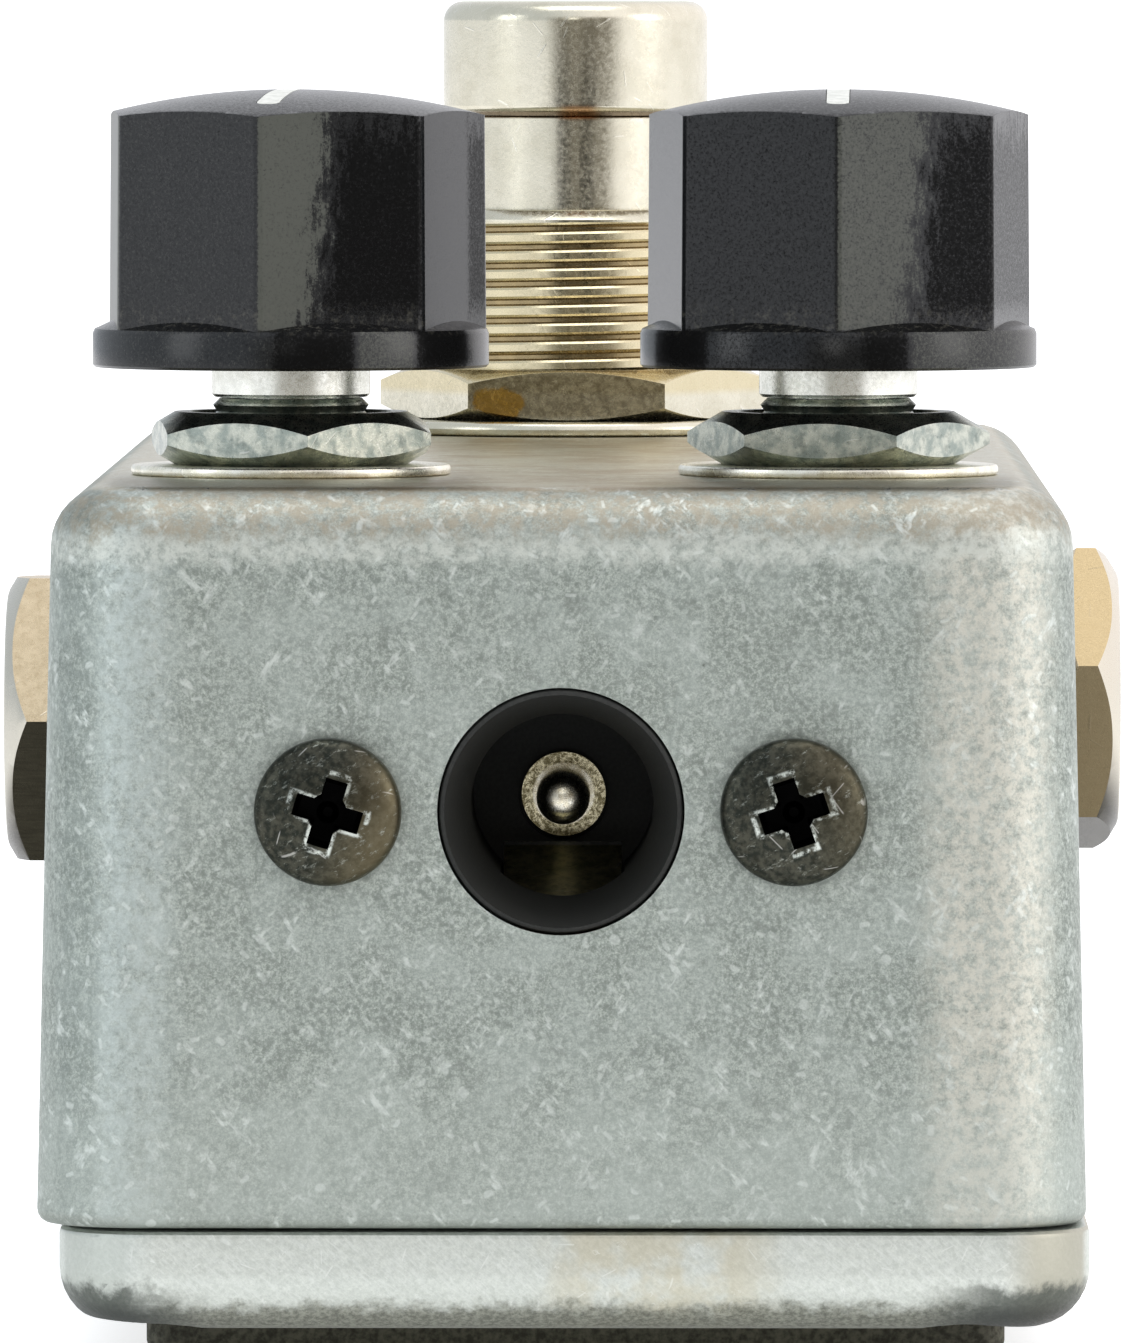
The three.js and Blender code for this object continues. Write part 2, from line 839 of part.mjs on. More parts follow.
function addPotentiometer(name, side, knobTurn, nutTurn) {
  const post = new THREE.Group();
  post.position.set(side * potSide, potY, panelTop);
  pedal.add(post);
  add(`${name}_pot_body`, potBody(), zincSteel, post);
  add(`${name}_pot_base`, potBase(), phenolicBrown, post);
  add(`${name}_pot_washer`, ring(
    potWasherRadius,
    potBushingRadius + holePlay,
    0,
    potWasherThickness,
    knobSteps,
  ), paleBrass, post);
  const nut = hexNut(
    potNutAcrossFlats,
    potBushingRadius + threadPlay,
    potNutBottom,
    potNutTop,
    potNutFaceRadius,
    potNutCornerDrop,
    knobSteps,
  );
  add(`${name}_pot_nut`, nut, zincSteel, post).rotation.z = THREE.MathUtils.degToRad(nutTurn);
  const turning = new THREE.Group();
  turning.rotation.z = THREE.MathUtils.degToRad(knobTurn);
  post.add(turning);
  add(`${name}_pot_shaft`, potShaft(), bareAluminium, turning);
  add(`${name}_knob`, knob(), knobPlastic, turning);
  add(`${name}_knob_pointer`, knobPointer(), pointerWhite, turning);
  add(`${name}_knob_set_screw`, setScrew(), blackOxide, turning);
}

addPotentiometer('left', -1, leftKnobTurn, leftPotNutTurn);
addPotentiometer('right', 1, rightKnobTurn, rightPotNutTurn);

// Footswitch, in a group whose origin is on the panel at the plunger's axis

const footswitch = new THREE.Group();
footswitch.position.set(0, switchY, panelTop);
pedal.add(footswitch);

const switchNutBottom = switchWasherThickness;
const switchNutTop = switchNutBottom + switchNutThickness;
const innerNutTop = -wall - seatGap;
const innerNutBottom = innerNutTop - innerNutThickness;
const switchPlateTop = innerNutBottom - seatGap;
const switchPlateBottom = switchPlateTop - switchPlateThickness;
const switchHousingBottom = switchPlateBottom - switchHousingHeight;
const switchCavityBottom = switchPlateBottom - switchCavityDepth;
const terminalTop = switchHousingBottom;
const terminalBaseBottom = terminalTop - terminalBaseThickness;
const terminalEnd = terminalBaseBottom - terminalLength;
const plungerFlangeTop = switchPlateBottom - closeGap;
const plungerFlangeBottom = plungerFlangeTop - plungerFlangeThickness;

function threadProfile(bottom, top) {
  const ridges = Math.floor((top - bottom) / switchThreadPitch);
  const root = switchThreadRadius - switchThreadDepth;
  const points = [];
  for (let i = 0; i < ridges; i += 1) {
    const start = bottom + i * switchThreadPitch;
    points.push([root, start], [switchThreadRadius, start + switchThreadPitch / 2]);
  }
  points.push([root, bottom + ridges * switchThreadPitch]);
  return points;
}

function switchBushing() {
  const root = switchThreadRadius - switchThreadDepth;
  const threadTop = switchBushingAbovePanel - switchBushingChamfer;
  const tube = turned([
    [0, switchPlateBottom],
    [root, switchPlateBottom],
    ...threadProfile(switchNutTop - switchThreadPitch, threadTop),
    [switchThreadRadius, threadTop],
    [switchThreadRadius - switchBushingChamfer, switchBushingAbovePanel],
    [0, switchBushingAbovePanel],
  ], threadSteps);
  const plate = bevelledBlock(
    switchPlateSide,
    switchPlateSide,
    switchPlateBottom,
    switchPlateTop,
    switchHousingEdge,
  );
  return tube.add(plate).subtract(rod(
    switchBushingBore,
    switchPlateBottom - cutOverrun,
    switchBushingAbovePanel + cutOverrun,
  ));
}

function switchHousing() {
  return bevelledBlock(
    switchHousingSide,
    switchHousingSide,
    switchHousingBottom,
    switchPlateBottom,
    switchHousingEdge,
  ).subtract(rod(switchCavityRadius, switchCavityBottom, switchPlateBottom + cutOverrun));
}

function terminalPlace(column, row) {
  const middle = (terminalRows - 1) / 2;
  return [terminalPitch * (column - middle), terminalPitch * (row - middle)];
}

function switchTerminals() {
  const base = bevelledBlock(
    switchHousingSide,
    switchHousingSide,
    terminalBaseBottom,
    terminalTop,
    switchHousingEdge,
  );
  const lugs = [];
  for (let column = 0; column < terminalRows; column += 1) {
    for (let row = 0; row < terminalRows; row += 1) {
      const [x, y] = terminalPlace(column, row);
      lugs.push(block(
        x - terminalWidth / 2,
        x + terminalWidth / 2,
        y - terminalThickness / 2,
        y + terminalThickness / 2,
        terminalEnd,
        terminalTop - terminalBaseThickness / 2,
      ));
    }
  }
  return join([base, ...lugs]);
}

function plunger() {
  const capBottom = plungerCapAbovePanel;
  const capTop = capBottom + plungerCapHeight;
  const grooveRadius = plungerBarrelRadius - plungerGrooveDepth;
  const topEdge = roundedEdge(plungerCapEdge, edgeSteps)
    .map(([inset, rise]) => [plungerCapRadius - inset, capTop - plungerCapEdge + rise]);
  return turned([
    [0, plungerFlangeBottom - plungerStemLength],
    [plungerStemRadius, plungerFlangeBottom - plungerStemLength],
    [plungerStemRadius, plungerFlangeBottom],
    [plungerFlangeRadius, plungerFlangeBottom],
    [plungerFlangeRadius, plungerFlangeTop],
    [plungerBarrelRadius, plungerFlangeTop],
    [plungerBarrelRadius, capBottom - plungerGroove],
    [grooveRadius, capBottom - plungerGroove],
    [grooveRadius, capBottom],
    [plungerCapRadius - plungerCapLowerEdge, capBottom],
    [plungerCapRadius, capBottom + plungerCapLowerEdge],
    ...topEdge,
    [0, capTop],
  ]);
}

class Helix extends THREE.Curve {
  constructor(radius, bottom, top, turns) {
    super();
    Object.assign(this, { radius, bottom, top, turns });
  }

  getPoint(share, target = new THREE.Vector3()) {
    const angle = fullTurn * this.turns * share;
    return target.set(
      this.radius * Math.cos(angle),
      this.radius * Math.sin(angle),
      this.bottom + (this.top - this.bottom) * share,
    );
  }
}

function tube(curve, radius, sidesAround, steps) {
  const section = new THREE.Shape(Array.from({ length: sidesAround }, (_, i) => {
    const angle = fullTurn * i / sidesAround;
    return new THREE.Vector2(radius * Math.cos(angle), radius * Math.sin(angle));
  }));
  return solid(new THREE.ExtrudeGeometry(section, { steps, extrudePath: curve, bevelEnabled: false }));
}

function switchSpring() {
  const stepsPerTurn = 8;
  const sidesAround = 5;
  const bottom = switchCavityBottom + springWireRadius + seatGap;
  const top = plungerFlangeBottom - springWireRadius - seatGap;
  const coil = new Helix(springRadius, bottom, top, springTurns);
  return tube(coil, springWireRadius, sidesAround, springTurns * stepsPerTurn);
}

add('footswitch_bushing', switchBushing(), satinNickel, footswitch);
add('footswitch_housing', switchHousing(), switchBlue, footswitch);
add('footswitch_terminals', switchTerminals(), tinned, footswitch);
add('footswitch_washer', ring(
  switchWasherRadius,
  switchThreadRadius + holePlay,
  0,
  switchWasherThickness,
  knobSteps,
), satinNickel, footswitch);
add('footswitch_nut', hexNut(
  switchNutAcrossFlats,
  switchThreadRadius + threadPlay,
  switchNutBottom,
  switchNutTop,
  switchNutFaceRadius,
  switchNutCornerDrop,
  knobSteps,
), satinNickel, footswitch).rotation.z = THREE.MathUtils.degToRad(switchNutTurn);
add('footswitch_inner_nut', hexNut(
  switchNutAcrossFlats,
  switchThreadRadius + threadPlay,
  innerNutBottom,
  innerNutTop,
  switchNutFaceRadius,
  switchNutCornerDrop,
), satinNickel, footswitch);
add('footswitch_plunger', plunger(), satinNickel, footswitch);
add('footswitch_spring', switchSpring(), tinned, footswitch);

// Side jacks, each in a group whose origin is on the wall at the socket's axis, local Z outwards

const wallAtJack = bodyWidth / 2 - draftAt(jackZ);
const jackWasherBottom = jackWasherRadius * draftSlope + closeGap;
const jackNutBottom = jackWasherBottom + jackWasherThickness;
const jackNutTop = jackNutBottom + jackNutThickness;
const jackNoseTop = jackNutTop - jackNoseSink;
const jackHousingTop = -wall - jackHousingHeight / 2 * draftSlope - seatGap;
const jackHousingBottom = jackHousingTop - jackHousingLength;

function jackNut() {
  const reach = jackNutAcrossFlats / 2 / Math.cos(Math.PI / 6);
  const turnedDown = turned([
    [0, jackNutBottom],
    [reach - 2 * jackNutInnerChamfer, jackNutBottom],
    [reach, jackNutBottom + jackNutInnerChamfer],
    [reach, jackNutTop - jackNutCornerDrop],
    [(reach + jackNutRimRadius) / 2, jackNutTop - jackNutCurveShare * jackNutCornerDrop],
    [jackNutRimRadius, jackNutTop],
    [0, jackNutTop],
  ], knobSteps);
  return hexPrism(jackNutAcrossFlats, jackNutBottom, jackNutTop)
    .intersect(turnedDown)
    .subtract(rod(jackThreadRadius + threadPlay, jackNutBottom - cutOverrun, jackNutTop + cutOverrun));
}

function jackFerrule() {
  return turned([
    [jackBore, jackHousingTop],
    [jackThreadRadius, jackHousingTop],
    [jackThreadRadius, jackNoseTop - jackNoseEdge],
    [jackThreadRadius - jackNoseEdge, jackNoseTop],
    [jackBore, jackNoseTop],
    [jackBore, jackHousingTop],
  ]);
}

// A box with a blind bore and, below the bore, a slot for the spring that holds a plug's tip
function jackHousing(below) {
  const box = bevelledBlock(
    jackHousingHeight,
    jackHousingWidth,
    jackHousingBottom,
    jackHousingTop,
    jackHousingEdge,
  );
  const bore = rod(jackBore, jackHousingBottom + jackHousingFloor, jackHousingTop + cutOverrun);
  const slotReach = jackBore + tipSlotHeight;
  const slot = (from, to, bottom, top) => block(
    Math.min(below * from, below * to),
    Math.max(below * from, below * to),
    -tipSpringWidth / 2 - holePlay,
    tipSpringWidth / 2 + holePlay,
    bottom,
    top,
  );
  const floorTop = jackHousingBottom + jackHousingFloor;
  const tailTop = slotReach - seatGap - tipSpringThickness - holePlay;
  return cut(box, [
    bore,
    slot(0, slotReach, floorTop, floorTop + tipSpringLength + 2 * seatGap),
    slot(tailTop, slotReach, jackHousingBottom - cutOverrun, floorTop + seatGap),
  ]);
}

// Level and reach along the strip that bends up into the bore, tail first
function tipSpring(below) {
  const start = jackHousingBottom + jackHousingFloor + seatGap;
  const outer = jackBore + tipSlotHeight - seatGap;
  const inner = jackBore - tipSpringBend;
  const bendShares = [0.3, 0.7, 1];
  const path = [
    [outer, jackHousingBottom - tipSpringTail],
    [outer, start + bendShares[0] * tipSpringLength],
    [inner + tipSpringThickness, start + bendShares[1] * tipSpringLength],
    [jackBore + tipSpringThickness, start + bendShares[2] * tipSpringLength],
  ];
  const edge = (lift) => path.map(([level, reach]) => new THREE.Vector2(below * (level - lift), reach));
  const outline = [...edge(0), ...edge(tipSpringThickness).reverse()];
  return pushed(outline, -tipSpringWidth / 2, tipSpringWidth / 2).rotate([90, 0, 0]);
}

function addJack(name, side, y, nutTurn) {
  const socket = new THREE.Group();
  socket.position.set(side * wallAtJack, y, jackZ);
  socket.rotation.y = side * quarterTurn;
  pedal.add(socket);
  add(`${name}_jack_ferrule`, jackFerrule(), warmNickel, socket);
  add(`${name}_jack_washer`, ring(
    jackWasherRadius,
    jackThreadRadius + holePlay,
    jackWasherBottom,
    jackNutBottom,
  ), warmNickel, socket);
  const nut = add(`${name}_jack_nut`, jackNut(), warmNickel, socket);
  nut.rotation.z = THREE.MathUtils.degToRad(-side * nutTurn);
  add(`${name}_jack_housing`, jackHousing(side), blackPlastic, socket);
  add(`${name}_jack_tip_spring`, tipSpring(side), tinned, socket);
}

addJack('left', -1, leftJackY, leftJackNutTurn);
addJack('right', 1, rightJackY, rightJackNutTurn);

// Power socket, in a group whose origin is on the end wall at the socket's axis, local Z outwards

const dcSocket = new THREE.Group();
dcSocket.position.set(0, frontFace + draftAt(dcZ), dcZ);
dcSocket.rotation.x = quarterTurn;
pedal.add(dcSocket);

const dcFlangeTop = -wall - dcFlangeHeight / 2 * draftSlope - seatGap;
const dcFlangeBottom = dcFlangeTop - dcFlangeThickness;
const dcBodyBottom = -dcSocketDepth - dcBodyBack;
const dcPinFloor = -dcSocketDepth - dcPinBaseHeight;

function dcJackBody() {
  const flangeWidth = dcScrewSpacing + 2 * dcFlangeReach;
  const collar = turned([
    [0, dcFlangeBottom],
    [dcCollarRadius, dcFlangeBottom],
    [dcCollarRadius, -dcCollarEdge],
    [dcCollarRadius - dcCollarEdge, 0],
    [0, 0],
  ], knobSteps);
  const flange = bevelledBlock(
    flangeWidth,
    dcFlangeHeight,
    dcFlangeBottom,
    dcFlangeTop,
    dcFlangeHeight / 4,
  );
  const box = bevelledBlock(dcBodyWidth, dcBodyHeight, dcBodyBottom, dcFlangeTop, potHousingEdge);
  const socket = turned([
    [0, -dcSocketDepth],
    [dcBore, -dcSocketDepth],
    [dcBore, -dcFunnelDepth],
    [dcMouthRadius, 0],
    [dcMouthRadius, cutOverrun],
    [0, cutOverrun],
  ], knobSteps);
  const pinSeat = rod(dcPinBaseRadius + holePlay, dcPinFloor - closeGap, -dcSocketDepth + cutOverrun);
  const pinHole = rod(dcPinTailRadius + holePlay, dcBodyBottom - cutOverrun, -dcSocketDepth);
  const screwHoles = sides.map((side) => rod(
    dcScrewRadius + holePlay,
    dcFlangeBottom - cutOverrun,
    dcFlangeTop + cutOverrun,
    smallRoundSteps,
  ).translate([side * dcScrewSpacing / 2, 0, 0]));
  const leafSlot = block(
    -dcLeafWidth / 2 - holePlay,
    dcLeafWidth / 2 + holePlay,
    -dcBore - dcLeafThickness - seatGap,
    0,
    -dcSocketDepth,
    -dcLeafStart + seatGap,
  );
  const tailLevel = -dcBore - dcLeafThickness + dcLeafTailLift;
  const tailSlot = block(
    -dcLeafWidth / 2 - holePlay,
    dcLeafWidth / 2 + holePlay,
    tailLevel - holePlay,
    tailLevel + dcLeafThickness + holePlay,
    dcBodyBottom - cutOverrun,
    -dcSocketDepth + cutOverrun,
  );
  return cut(join([collar, flange, box]), [socket, pinSeat, pinHole, leafSlot, tailSlot, ...screwHoles]);
}

function dcPin() {
  const dome = roundedEdge(dcPinRadius, edgeSteps)
    .map(([inset, rise]) => [dcPinRadius - inset, -dcPinTipDepth - dcPinRadius + rise]);
  return turned([
    [0, dcBodyBottom - dcPinTailLength],
    [dcPinTailRadius, dcBodyBottom - dcPinTailLength],
    [dcPinTailRadius, dcPinFloor],
    [dcPinBaseRadius, dcPinFloor],
    [dcPinBaseRadius, -dcSocketDepth],
    [dcPinBaseRadius - dcPinBaseWall, -dcSocketDepth],
    [dcPinBaseRadius - dcPinBaseWall, dcPinFloor + dcPinBaseWall],
    [dcPinRadius, dcPinFloor + dcPinBaseWall],
    ...dome,
  ], smallRoundSteps);
}

// A strip along the bottom of the bore that rises to the back and leaves through the back wall
function dcLeaf() {
  const low = -dcBore - dcLeafThickness;
  const bendShares = [0.45, 0.75, 1];
  const along = (share) => -dcLeafStart + share * (dcLeafStart - dcSocketDepth + dcPinBaseRadius);
  const path = [
    [low, -dcLeafStart],
    [low + dcLeafLift / 2, along(bendShares[0])],
    [low + dcLeafLift, along(bendShares[1])],
    [low + dcLeafTailLift, along(bendShares[2])],
    [low + dcLeafTailLift, dcBodyBottom - dcLeafTailLength],
  ];
  const edge = (lift) => path.map(([level, reach]) => new THREE.Vector2(reach, level + lift));
  const outline = [...edge(0).reverse(), ...edge(dcLeafThickness)];
  return pushed(outline, -dcLeafWidth / 2, dcLeafWidth / 2).rotate([0, -90, 0]);
}

function dcScrew() {
  const seat = dcScrewHeadRadius * draftSlope + closeGap;
  const domeSteps = edgeSteps;
  const dome = roundedEdge(1, domeSteps).map(([inset, rise]) => [
    dcScrewHeadRadius * (1 - inset),
    seat + dcScrewHeadRim + rise * (dcScrewHeadHeight - dcScrewHeadRim),
  ]);
  const body = turned([
    [0, seat - dcScrewLength],
    [dcScrewRadius, seat - dcScrewLength],
    [dcScrewRadius, seat],
    [dcScrewHeadRadius, seat],
    ...dome,
  ], roundSteps);
  const top = seat + dcScrewHeadHeight;
  return body.subtract(crossRecess(
    dcScrewCrossSpan,
    dcScrewCrossWidth,
    top - dcScrewCrossDepth,
    top + cutOverrun,
  ));
}

add('dc_jack_body', dcJackBody(), blackPlastic, dcSocket);
add('dc_jack_pin', dcPin(), satinNickel, dcSocket);
add('dc_jack_leaf', dcLeaf(), warmNickel, dcSocket);

[['left', -1, leftDcScrewTurn], ['right', 1, rightDcScrewTurn]].forEach(([name, side, turn]) => {
  const screw = add(`dc_screw_${name}`, dcScrew(), blackOxide, dcSocket);
  screw.position.x = side * dcScrewSpacing / 2;
  screw.rotation.z = THREE.MathUtils.degToRad(-turn);
  const nut = add(`dc_nut_${name}`, hexNut(
    dcNutAcrossFlats,
    dcScrewRadius + threadPlay,
    dcFlangeBottom - dcNutThickness,
    dcFlangeBottom,
    dcNutFaceRadius,
    dcNutCornerDrop,
    smallRoundSteps,
  ), zincSteel, dcSocket);
  nut.position.x = side * dcScrewSpacing / 2;
});

// Circuit board, hung from the potentiometers' pins, with a notch round the power socket

const boardHalfWidth = bodyWidth / 2 - wall - draftAt(boardTop) - boardSideGap;
const boardFront = frontPostBack + boardFrontGap;
const boardBack = leftJackFront - freeLength * boardBackShare;
const dcTailEnd = frontFace + draftAt(dcZ) - dcBodyBottom + Math.max(dcPinTailLength, dcLeafTailLength);
const boardNotchBack = dcTailEnd + boardNotchGap;

function circuitBoard() {
  const notchHalfWidth = dcBodyWidth / 2 + boardNotchGap;
  const notch = block(
    -notchHalfWidth,
    notchHalfWidth,
    boardFront - cutOverrun,
    boardNotchBack,
    boardBottom - cutOverrun,
    boardTop + cutOverrun,
  );
  return block(-boardHalfWidth, boardHalfWidth, boardFront, boardBack, boardBottom, boardTop)
    .subtract(notch);
}

function amplifierChip() {
  const chipTop = boardBottom - chipStandOff;
  const middle = (boardNotchBack + boardBack) / 2;
  const body = block(
    -chipLength / 2,
    chipLength / 2,
    middle - chipWidth / 2,
    middle + chipWidth / 2,
    chipTop - chipHeight,
    chipTop,
  );
  const legs = sides.flatMap((side) => Array.from({ length: chipLegsPerSide }, (_, i) => {
    const x = chipLegPitch * (i - (chipLegsPerSide - 1) / 2);
    const y = middle + side * (chipWidth - chipLegWidth) / 2;
    return block(
      x - chipLegWidth / 2,
      x + chipLegWidth / 2,
      y - chipLegWidth / 2,
      y + chipLegWidth / 2,
      chipTop - chipHeight / 2,
      boardBottom,
    );
  }));
  return join([body, ...legs]);
}

function electrolyticCan() {
  const grooveTop = canGrooveHeight + 2 * canGrooveDepth;
  return turned([
    [0, 0],
    [canRadius, 0],
    [canRadius, canGrooveHeight],
    [canRadius - canGrooveDepth, canGrooveHeight + canGrooveDepth],
    [canRadius, grooveTop],
    [canRadius, canHeight - canEdge],
    [canRadius - canEdge, canHeight],
    [0, canHeight],
  ], smallRoundSteps);
}

const boardPartY = leftJackFront - freeLength * boardPartShare - canRadius;

add('circuit_board', circuitBoard(), boardGreen);
add('amplifier_chip', amplifierChip(), chipBlack);
[['left', -1], ['right', 1]].forEach(([name, side]) => {
  const x = side * (boardHalfWidth - boardPartSideInset);
  const can = add(`${name}_electrolytic_capacitor`, electrolyticCan(), canBlue);
  can.position.set(x, boardPartY, boardTop);
});
add('film_capacitor', bevelledBlock(filmWidth, filmLength, 0, filmHeight, filmEdge), filmRed)
  .position.set(0, boardPartY, boardTop);

// Hook-up wires, each a smooth tube through points that follow from what it joins

function wire(points) {
  const curve = new THREE.CatmullRomCurve3(points.map((point) => new THREE.Vector3(...point)));
  return tube(curve, wireRadius, wireSides, wireSteps);
}

const wireRunZ = jackZ - jackHousingHeight / 2 - wireRunBelowJacks;
const wireSideRun = switchPlateSide / 2 + wireSideGap;
const wireBesideChip = chipLength / 2 + wireStub;
const lugZ = panelTop + terminalEnd + terminalLength / 2;
const frontLugFace = switchY - terminalPitch - terminalThickness / 2;
const sideLugFace = terminalPitch + terminalWidth / 2;
const wireTurnY = rightJackY + jackHousingWidth / 2 + wireStub;

// From the board's underside down, below both jacks and up to a lug in the footswitch's front row
function boardWire(side) {
  const x = side * wireBesideChip;
  const lugX = side * terminalPitch;
  const y = boardBack - wireBoardInset;
  return wire([
    [x, y, boardBottom - closeGap],
    [x, y, boardBottom - wireStub],
    [x, y + wireStub / 2, wireRunZ + wireBend],
    [x, y + wireBend, wireRunZ],
    [x, leftJackY, wireRunZ],
    [x, wireTurnY, wireRunZ],
    [lugX, frontLugFace - wireBend, lugZ],
    [lugX, frontLugFace - wireStub, lugZ],
    [lugX, frontLugFace - closeGap, lugZ],
  ]);
}

// From a jack's tip lug along the side of the footswitch to a lug in its middle row
function jackWire(side, jackY) {
  const tailX = side * (wallAtJack + jackHousingBottom - tipSpringTail);
  const outX = -side;
  const tailZ = jackZ - (jackBore + tipSlotHeight - seatGap - tipSpringThickness / 2);
  return wire([
    [tailX + outX * closeGap, jackY, tailZ],
    [tailX + outX * wireStub, jackY, tailZ],
    [outX * wireSideRun, jackY + wireBend, wireRunZ],
    [outX * wireSideRun, wireTurnY, wireRunZ],
    [outX * wireSideRun, frontLugFace, lugZ],
    [outX * (sideLugFace + wireBend), switchY - closeGap, lugZ],
    [outX * (sideLugFace + wireStub), switchY, lugZ],
    [outX * (sideLugFace + closeGap), switchY, lugZ],
  ]);
}

const dcWireY = boardNotchBack + wireBend;
const dcTailY = dcTailEnd - dcPinTailLength / 2;

function dcPowerWire() {
  const x = -dcPinTailRadius;
  const boardX = -wireBesideChip;
  return wire([
    [x - closeGap, dcTailY, dcZ],
    [x - wireStub, dcTailY, dcZ],
    [boardX, dcTailY + wireStub / 2, dcZ - wireStub],
    [boardX, boardNotchBack, dcZ - wireBend],
    [boardX, dcWireY, boardBottom - wireStub],
    [boardX, dcWireY, boardBottom - closeGap],
  ]);
}

function dcGroundWire() {
  const x = dcLeafWidth / 4;
  const leafZ = dcZ - dcBore - dcLeafThickness / 2 + dcLeafTailLift;
  return wire([
    [x, dcTailEnd + closeGap, leafZ],
    [x, dcTailEnd + wireStub / 2, leafZ],
    [wireBesideChip, boardNotchBack, leafZ + wireStub],
    [wireBesideChip, dcWireY, boardBottom - wireStub],
    [wireBesideChip, dcWireY, boardBottom - closeGap],
  ]);
}

add('effect_send_wire', boardWire(-1), wireYellow);
add('effect_return_wire', boardWire(1), wireGreen);
add('output_wire', jackWire(-1, leftJackY), wireWhite);
add('input_wire', jackWire(1, rightJackY), wireBlue);
add('dc_power_wire', dcPowerWire(), wireRed);
add('dc_ground_wire', dcGroundWire(), wireBlack);

export default pedal;
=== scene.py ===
"""Guitar effects pedal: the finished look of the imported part.

Lengths are in metres. Z is up, the case's length lies along Y, the power socket faces -Y, and the
origin is under the middle of the rubber pad. Round pieces are turned about Z at the origin, and
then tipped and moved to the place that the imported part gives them.
"""

import json
import math

import bmesh
import bpy
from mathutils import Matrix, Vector

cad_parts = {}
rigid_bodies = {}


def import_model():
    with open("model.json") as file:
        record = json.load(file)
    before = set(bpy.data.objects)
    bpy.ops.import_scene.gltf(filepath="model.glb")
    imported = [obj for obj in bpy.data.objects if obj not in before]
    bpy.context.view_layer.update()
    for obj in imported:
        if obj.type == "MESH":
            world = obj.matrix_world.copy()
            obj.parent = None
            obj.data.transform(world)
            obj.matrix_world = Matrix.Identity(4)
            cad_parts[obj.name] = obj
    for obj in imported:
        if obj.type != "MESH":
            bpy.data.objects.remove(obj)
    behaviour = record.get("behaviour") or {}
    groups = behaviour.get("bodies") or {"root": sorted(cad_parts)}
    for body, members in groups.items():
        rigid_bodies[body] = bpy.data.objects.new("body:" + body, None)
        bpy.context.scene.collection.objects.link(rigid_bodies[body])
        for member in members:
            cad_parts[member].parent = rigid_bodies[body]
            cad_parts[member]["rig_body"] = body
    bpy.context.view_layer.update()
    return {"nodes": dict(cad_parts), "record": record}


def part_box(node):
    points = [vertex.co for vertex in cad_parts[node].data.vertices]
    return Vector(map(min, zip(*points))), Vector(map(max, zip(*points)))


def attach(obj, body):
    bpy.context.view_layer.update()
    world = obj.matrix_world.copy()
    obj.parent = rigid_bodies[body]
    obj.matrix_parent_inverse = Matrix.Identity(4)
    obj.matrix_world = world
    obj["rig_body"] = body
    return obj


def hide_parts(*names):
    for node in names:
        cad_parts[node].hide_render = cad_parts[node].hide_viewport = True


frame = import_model()

MM = 0.001
QUARTER = math.pi / 2
SIDES = (-1, 1)
hairline = 0.0001 * MM

# Sides of the round pieces

FINE_ROUND = 128
ROUND = 96
SMALL_ROUND = 48

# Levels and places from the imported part

case_low, case_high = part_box("enclosure_body")
lid_low, lid_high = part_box("base_plate")
pad_low, pad_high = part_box("rubber_pad")
panel = case_high.z
wall = 2 * MM
draft = math.tan(math.radians(1.2))


def middle(node):
    low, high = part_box(node)
    return (low + high) / 2


pot_places = {side: middle(side + "_pot_washer") for side in ("left", "right")}
switch_place = middle("footswitch_washer")
socket_place = middle("dc_jack_pin")
socket_screw_places = {side: middle("dc_screw_" + side) for side in ("left", "right")}
socket_screw_turns = {"left": math.radians(-17), "right": math.radians(18.5)}
socket_screw_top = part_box("dc_screw_left")[0].y
cross_span = 2.95 * MM
cross_width = 0.9 * MM


# Camera, at the photograph's place and angle

photo_height = 1343
focal_pixels = 16592
sensor = 36
camera_place = Vector((4.93 * MM, -656.3 * MM, 51.45 * MM))
pitch_down = math.radians(2.414)
yaw_left = math.radians(0.464)

bpy.ops.object.select_all(action="DESELECT")
bpy.ops.object.camera_add(location=camera_place, rotation=(QUARTER - pitch_down, 0, yaw_left))
camera = bpy.context.active_object
camera.data.sensor_width = sensor
camera.data.lens = focal_pixels * sensor / photo_height
camera.data.clip_start = 10 * MM
bpy.context.scene.camera = camera


# Modelling helpers

def pick(piece):
    """Makes a piece the only one that the next operator acts on."""
    bpy.ops.object.select_all(action="DESELECT")
    piece.select_set(True)
    bpy.context.view_layer.objects.active = piece


def begun(name):
    """Names the primitive that was just added."""
    piece = bpy.context.active_object
    piece.name = name
    piece.data.name = name
    return piece


def settle(piece, move=(0, 0, 0), turn=(0, 0, 0)):
    """Turns a piece about the origin, moves it, and puts its place into its mesh."""
    pick(piece)
    bpy.ops.object.transform_apply(location=True, rotation=True, scale=True)
    piece.rotation_euler = turn
    piece.location = move
    bpy.ops.object.transform_apply(location=True, rotation=True, scale=True)
    return piece


def shape(piece):
    """Opens a piece in edit mode with nothing selected."""
    pick(piece)
    bpy.ops.object.mode_set(mode="EDIT")
    bpy.ops.mesh.select_all(action="DESELECT")
    return bmesh.from_edit_mesh(piece.data)


def shown(piece, mesh):
    """Closes the selection that was made in code."""
    mesh.select_flush_mode()
    bmesh.update_edit_mesh(piece.data)


def shaped():
    bpy.ops.object.mode_set(mode="OBJECT")


def choose_faces(piece, wanted):
    mesh = shape(piece)
    bpy.ops.mesh.select_mode(type="FACE")
    for face in mesh.faces:
        face.select = wanted(face)
    shown(piece, mesh)


def choose_edges(piece, wanted):
    mesh = shape(piece)
    bpy.ops.mesh.select_mode(type="EDGE")
    for edge in mesh.edges:
        edge.select = wanted(edge)
    shown(piece, mesh)


